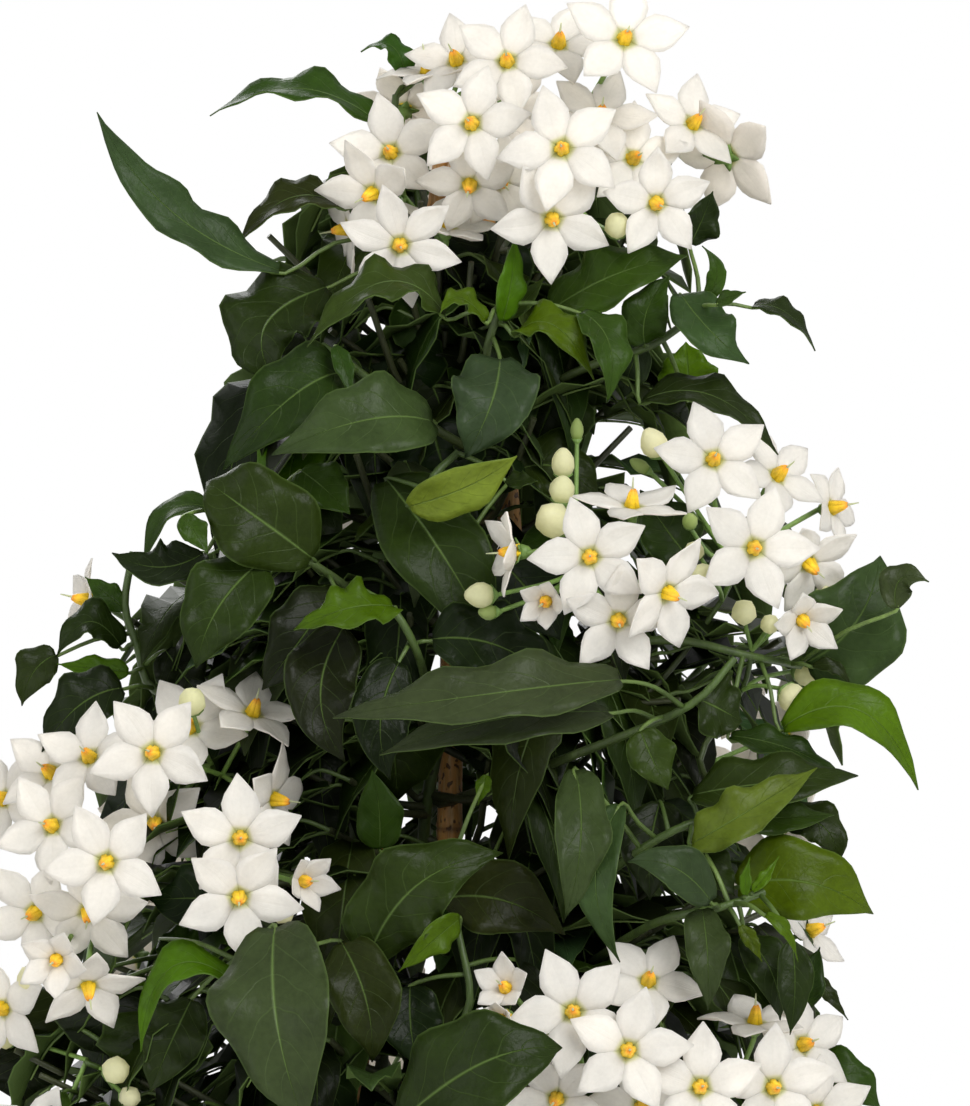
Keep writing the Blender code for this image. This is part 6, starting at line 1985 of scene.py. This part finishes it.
@dataclass
class Canes:
    """The three bamboo canes with their joints, the rubber tie and the stems that twine round them."""

    radius: float = 3 * MM
    joints: tuple[float, ...] = (0.30, 0.62, 0.90)
    sides: int = 18
    tie_wall: float = 1.2 * MM
    tie_length: float = 5 * MM

    def cane(self, number: int) -> None:
        """Make one cane from a profile that is turned about its own axis."""
        foot, top = cane_line(number)
        length = (top - foot).length
        shape = bmesh.new()
        tint = shape.verts.layers.float_color.new("tint")
        stations = [(0.0, 0.86, 0.0), (0.0016, 1.0, 0.0)]
        for joint in self.joints:
            at = (joint + 0.03 * number) * length
            if at > 0.98 * length:
                continue
            stations += [(at + step * MM, swell, mark) for step, swell, mark in (
                (-9, 1.0, 0), (-3, 1.02, 0.1), (-1.2, 1.10, 0.3), (-0.5, 1.13, 0.8), (0, 1.04, 1.0),
                (0.6, 1.13, 0.5), (2.0, 1.05, 0.2), (8, 1.0, 0))]
        stations += [(length - 0.9 * MM, 1.0, 0.2), (length, 0.84, 0.6)]
        line = []
        for height, swell, mark in stations:
            vert = shape.verts.new((self.radius * swell, 0, height))
            vert[tint] = (0, 0, 0, mark)
            line.append(vert)
        edges = [shape.edges.new(pair) for pair in zip(line, line[1:])]
        bmesh.ops.spin(shape, geom=line + edges, axis=(0, 0, 1), cent=(0, 0, 0), angle=math.tau,
                       steps=self.sides, use_merge=True)
        rims = [edge for edge in shape.edges if edge.is_boundary]
        bmesh.ops.holes_fill(shape, edges=rims, sides=0)
        bmesh.ops.recalc_face_normals(shape, faces=shape.faces)
        turn = (top - foot).to_track_quat("Z", "X").to_matrix().to_4x4()
        bmesh.ops.transform(shape, matrix=Matrix.Translation(foot) @ turn, verts=shape.verts)
        for face in shape.faces:
            face.smooth = len(face.verts) == 4
        piece = Piece(f"cane_{number + 1}_dressed", [Finish.BAMBOO])
        piece.shape.free()
        piece.shape = shape
        piece.finish("bamboo", [f"cane_{number + 1}"])

    def main_stem(self, number: int) -> None:
        """Make the stem that twines round a cane."""
        piece = Piece(f"main_stem_{number + 1}_dressed", [Finish.STEM])
        route = smooth_route(twining_route(number), 4)
        radii = (MAIN_STEM_RADIUS * 1.1, MAIN_STEM_RADIUS * 0.85)
        piece.set_stalks([Stalk(route, radii, (OLD_STEM, YOUNG_STEM))], 3)
        piece.finish("stem_green", [f"main_stem_{number + 1}"])

    def tie(self) -> None:
        """Make the rubber ring from a band that is turned, then rounded."""
        inner = TIE_SPREAD + self.radius + 0.35 * MM + GAP
        middle = Vector((TIE_CENTRE[0] * MM, TIE_CENTRE[1] * MM, TIE_HEIGHT))
        shape = bmesh.new()
        low, high = -self.tie_length / 2, self.tie_length / 2
        corners = [(inner, low), (inner, high), (inner + self.tie_wall, high), (inner + self.tie_wall, low)]
        band = [shape.verts.new((radius, 0, height)) for radius, height in corners]
        edges = [shape.edges.new((band[i], band[(i + 1) % 4])) for i in range(4)]
        bmesh.ops.spin(shape, geom=band + edges, axis=(0, 0, 1), cent=(0, 0, 0), angle=math.tau, steps=48,
                       use_merge=True)
        bmesh.ops.recalc_face_normals(shape, faces=shape.faces)
        sharp = [edge for edge in shape.edges if edge.calc_face_angle(0) > 1]
        bmesh.ops.bevel(shape, geom=sharp, offset=0.3 * MM, segments=2, profile=0.5, affect="EDGES", material=-1)
        bmesh.ops.translate(shape, verts=shape.verts, vec=middle)
        for face in shape.faces:
            face.smooth = True
        piece = Piece("cane_tie_dressed", [Finish.RUBBER])
        piece.shape.free()
        piece.shape = shape
        piece.finish("tie_rubber", ["cane_tie"])

    def make(self) -> None:
        """Make the canes, the stems and the tie."""
        for number in range(3):
            self.cane(number)
            self.main_stem(number)
        self.tie()


@dataclass
class ClayPot:
    """The clay pot with its rim band and drain holes, and the soil in it."""

    height: float = 130 * MM
    top: float = 85 * MM
    foot: float = 60 * MM
    wall: float = 4.5 * MM
    floor: float = 6 * MM
    rim: float = 24 * MM
    step: float = 3.5 * MM
    drain: float = 5 * MM
    drain_circle: float = 34 * MM
    drains: int = 4
    soil_top: float = 118 * MM
    mound: float = 4 * MM
    crumbs: int = 260

    def turned(self, profile: Sequence[tuple[float, float]], steps: int) -> bmesh.types.BMesh:
        """Return a shape turned about the upright axis from (radius, height) points."""
        shape = bmesh.new()
        line = [shape.verts.new((radius, 0, height)) for radius, height in profile]
        edges = [shape.edges.new(pair) for pair in zip(line, line[1:])]
        bmesh.ops.spin(shape, geom=line + edges, axis=(0, 0, 1), cent=(0, 0, 0), angle=math.tau, steps=steps,
                       use_merge=True)
        bmesh.ops.remove_doubles(shape, verts=shape.verts, dist=0.00002)
        bmesh.ops.recalc_face_normals(shape, faces=shape.faces)
        return shape

    def pot(self) -> None:
        """Make the pot, with rounded edges and its drain holes cut."""
        wall_top = self.top - self.step
        profile = [
            (0, self.floor), (self.foot - self.wall + 1.5 * MM, self.floor), (wall_top - self.wall, self.height),
            (self.top, self.height), (self.top - 1.2 * MM, self.height - self.rim),
            (wall_top - 3.4 * MM, self.height - self.rim), (self.foot, 2 * MM), (self.foot - 2 * MM, 0), (0, 0),
        ]
        shape = self.turned(profile, 96)
        edges = [edge for edge in shape.edges if not edge.is_boundary and edge.calc_face_angle(0) > 0.5]
        bmesh.ops.bevel(shape, geom=edges, offset=1.2 * MM, segments=3, profile=0.5, affect="EDGES", material=-1)
        body = Piece("pot_dressed", [Finish.CLAY])
        body.shape.free()
        body.shape = shape
        for face in shape.faces:
            face.smooth = True
        made = body.finish("clay", ["pot"])
        cutter = bmesh.new()
        for i in range(self.drains):
            angle = math.tau * i / self.drains + 0.4
            at = Vector((self.drain_circle * math.cos(angle), self.drain_circle * math.sin(angle), self.floor / 2))
            bmesh.ops.create_cone(cutter, cap_ends=True, segments=24, radius1=self.drain, radius2=self.drain,
                                  depth=4 * self.floor, matrix=Matrix.Translation(at))
        data = bpy.data.meshes.new("drains")
        cutter.to_mesh(data)
        cutter.free()
        holes = bpy.data.objects.new("drains", data)
        bpy.context.scene.collection.objects.link(holes)
        cut = made.modifiers.new("drains", "BOOLEAN")
        cut.operation = "DIFFERENCE"
        cut.object = holes
        graph = bpy.context.evaluated_depsgraph_get()
        whole = bpy.data.meshes.new_from_object(made.evaluated_get(graph))
        made.modifiers.clear()
        made.data = whole
        bpy.data.objects.remove(holes)
        whole.set_sharp_from_angle(angle=math.radians(40))

    def soil(self) -> None:
        """Make the soil: an uneven mound with crumbs pressed into it."""
        inside = self.foot - self.wall + 1.5 * MM - GAP
        slope = (self.top - self.step - self.foot - 1.5 * MM) / (self.height - self.floor)
        edge = inside + slope * (self.soil_top - self.floor) - GAP
        rings = [(edge * i / 22, self.soil_top + self.mound * (1 - (i / 22) ** 2)) for i in range(22)]
        shape = self.turned(rings + [(edge, self.soil_top), (inside, self.floor + GAP), (0, self.floor + GAP)], 72)
        for vert in shape.verts:
            across = math.hypot(vert.co.x, vert.co.y)
            if vert.co.z > self.soil_top - MM and across < edge - MM:
                vert.co.z += 1.6 * MM * noise.fractal(vert.co * 90, 0.9, 2.0, 3) - 0.4 * MM
        draw = random.Random(17)
        for i in range(self.crumbs):
            angle = draw.uniform(0, math.tau)
            across = edge * 0.95 * math.sqrt(draw.random())
            height = self.soil_top + self.mound * (1 - (across / edge) ** 2)
            size = draw.uniform(0.8, 2.4) * MM
            turn = Matrix.Rotation(draw.uniform(0, 6), 4, (draw.random(), draw.random(), 1))
            stretch = Matrix.Diagonal((1, draw.uniform(0.6, 1), draw.uniform(0.5, 0.8), 1))
            at = Matrix.Translation((across * math.cos(angle), across * math.sin(angle), height))
            bmesh.ops.create_icosphere(shape, subdivisions=1, radius=size, matrix=at @ turn @ stretch)
        for face in shape.faces:
            face.smooth = True
        piece = Piece("soil_dressed", [Finish.EARTH])
        piece.shape.free()
        piece.shape = shape
        piece.finish("earth", ["soil"])

    def make(self) -> None:
        """Make the pot and the soil."""
        self.pot()
        self.soil()


@dataclass
class Studio:
    """The pale floor, the soft lights and the camera at the photograph's angle."""

    floor_radius: float = 1.05
    floor_pale: Colour = (0.80, 0.80, 0.79)
    lamps: tuple[tuple[str, tuple[float, float, float], float, float], ...] = (
        ("key", (0.9, -1.5, 1.5), 1.1, 36.0),
        ("fill", (-1.5, -1.3, 0.6), 1.4, 10.0),
        ("back", (-0.6, 1.5, 1.2), 1.2, 22.0),
    )

    def floor(self) -> None:
        """Make the floor."""
        shape = bmesh.new()
        bmesh.ops.create_circle(shape, cap_ends=True, segments=96, radius=self.floor_radius)
        data = bpy.data.meshes.new("floor")
        shape.to_mesh(data)
        shape.free()
        paint, pen, shader = new_finish("floor_pale", 0.9)
        body = EFFECTS.use(pen, "mottle", {
            "Color": (*self.floor_pale, 1), "Place": pen.object_place(), "Size": 0.3, "Contrast": 0.02,
        })
        pen.tree.links.new(body["Color"], shader.inputs["Base Color"])
        data.materials.append(paint)
        made = bpy.data.objects.new("floor", data)
        bpy.context.scene.collection.objects.link(made)

    def world(self) -> None:
        """Make the world white to the camera and softer as a light."""
        world = bpy.data.worlds.new("studio")
        bpy.context.scene.world = world
        world.use_nodes = True
        pen = Pen(world.node_tree)
        path = pen.add("LightPath", {}).outputs["Is Camera Ray"]
        background = world.node_tree.nodes["Background"]
        background.inputs["Color"].default_value = (1, 1, 1, 1)
        pen.tree.links.new(pen.step(path, 0, 1, 0.62, 1.0), background.inputs["Strength"])

    def lights(self) -> None:
        """Set the soft lamps, all turned to the crown."""
        for name, place, size, power in self.lamps:
            lamp = bpy.data.lights.new(name, "AREA")
            lamp.size = size
            lamp.energy = power
            made = bpy.data.objects.new(name, lamp)
            made.location = place
            made.rotation_euler = (Vector(place) - LOOKED_AT).to_track_quat("Z", "Y").to_euler()
            bpy.context.scene.collection.objects.link(made)

    def camera(self) -> None:
        """Set the camera where the photograph was taken from."""
        lens = bpy.data.cameras.new("photograph")
        lens.sensor_width = 36.0
        lens.lens = 36.0 * EYE_DISTANCE / (PHOTO_SIZE[1] * PIXEL)
        lens.clip_start = 0.05
        made = bpy.data.objects.new("photograph", lens)
        turn = Matrix((RIGHT, UP, TO_EYE)).transposed().to_4x4()
        made.matrix_world = Matrix.Translation(LOOKED_AT + EYE_DISTANCE * TO_EYE) @ turn
        bpy.context.scene.collection.objects.link(made)
        bpy.context.scene.camera = made

    def make(self) -> None:
        """Make the whole studio."""
        self.floor()
        self.world()
        self.lights()
        self.camera()
        bpy.context.scene.view_settings.view_transform = "Standard"


def main() -> None:
    """Build the pieces in order."""
    logging.basicConfig(level=logging.INFO, format="%(message)s")
    EFFECTS.make()
    for finish in Finish:
        MATERIALS[finish] = finish.value.make()
    Studio().make()
    ClayPot().make()
    Canes().make()
    plant = Plant()
    dresser = Dresser()
    for growth in plant.shoots:
        dresser.dress(growth, growth.name in SHOOTS)
    for growth in plant.sprays:
        dresser.dress(growth, growth.name in SPRAYS)
    Thicket(plant, dresser).make()
    counts = [sum(len(getattr(growth, kind)) for growth in plant.shoots + plant.sprays)
              for kind in ("blades", "blooms", "buds")]
    logging.info("found %d leaves, %d flowers and %d buds in the packed nodes", *counts)


if __name__ == "__main__":
    main()
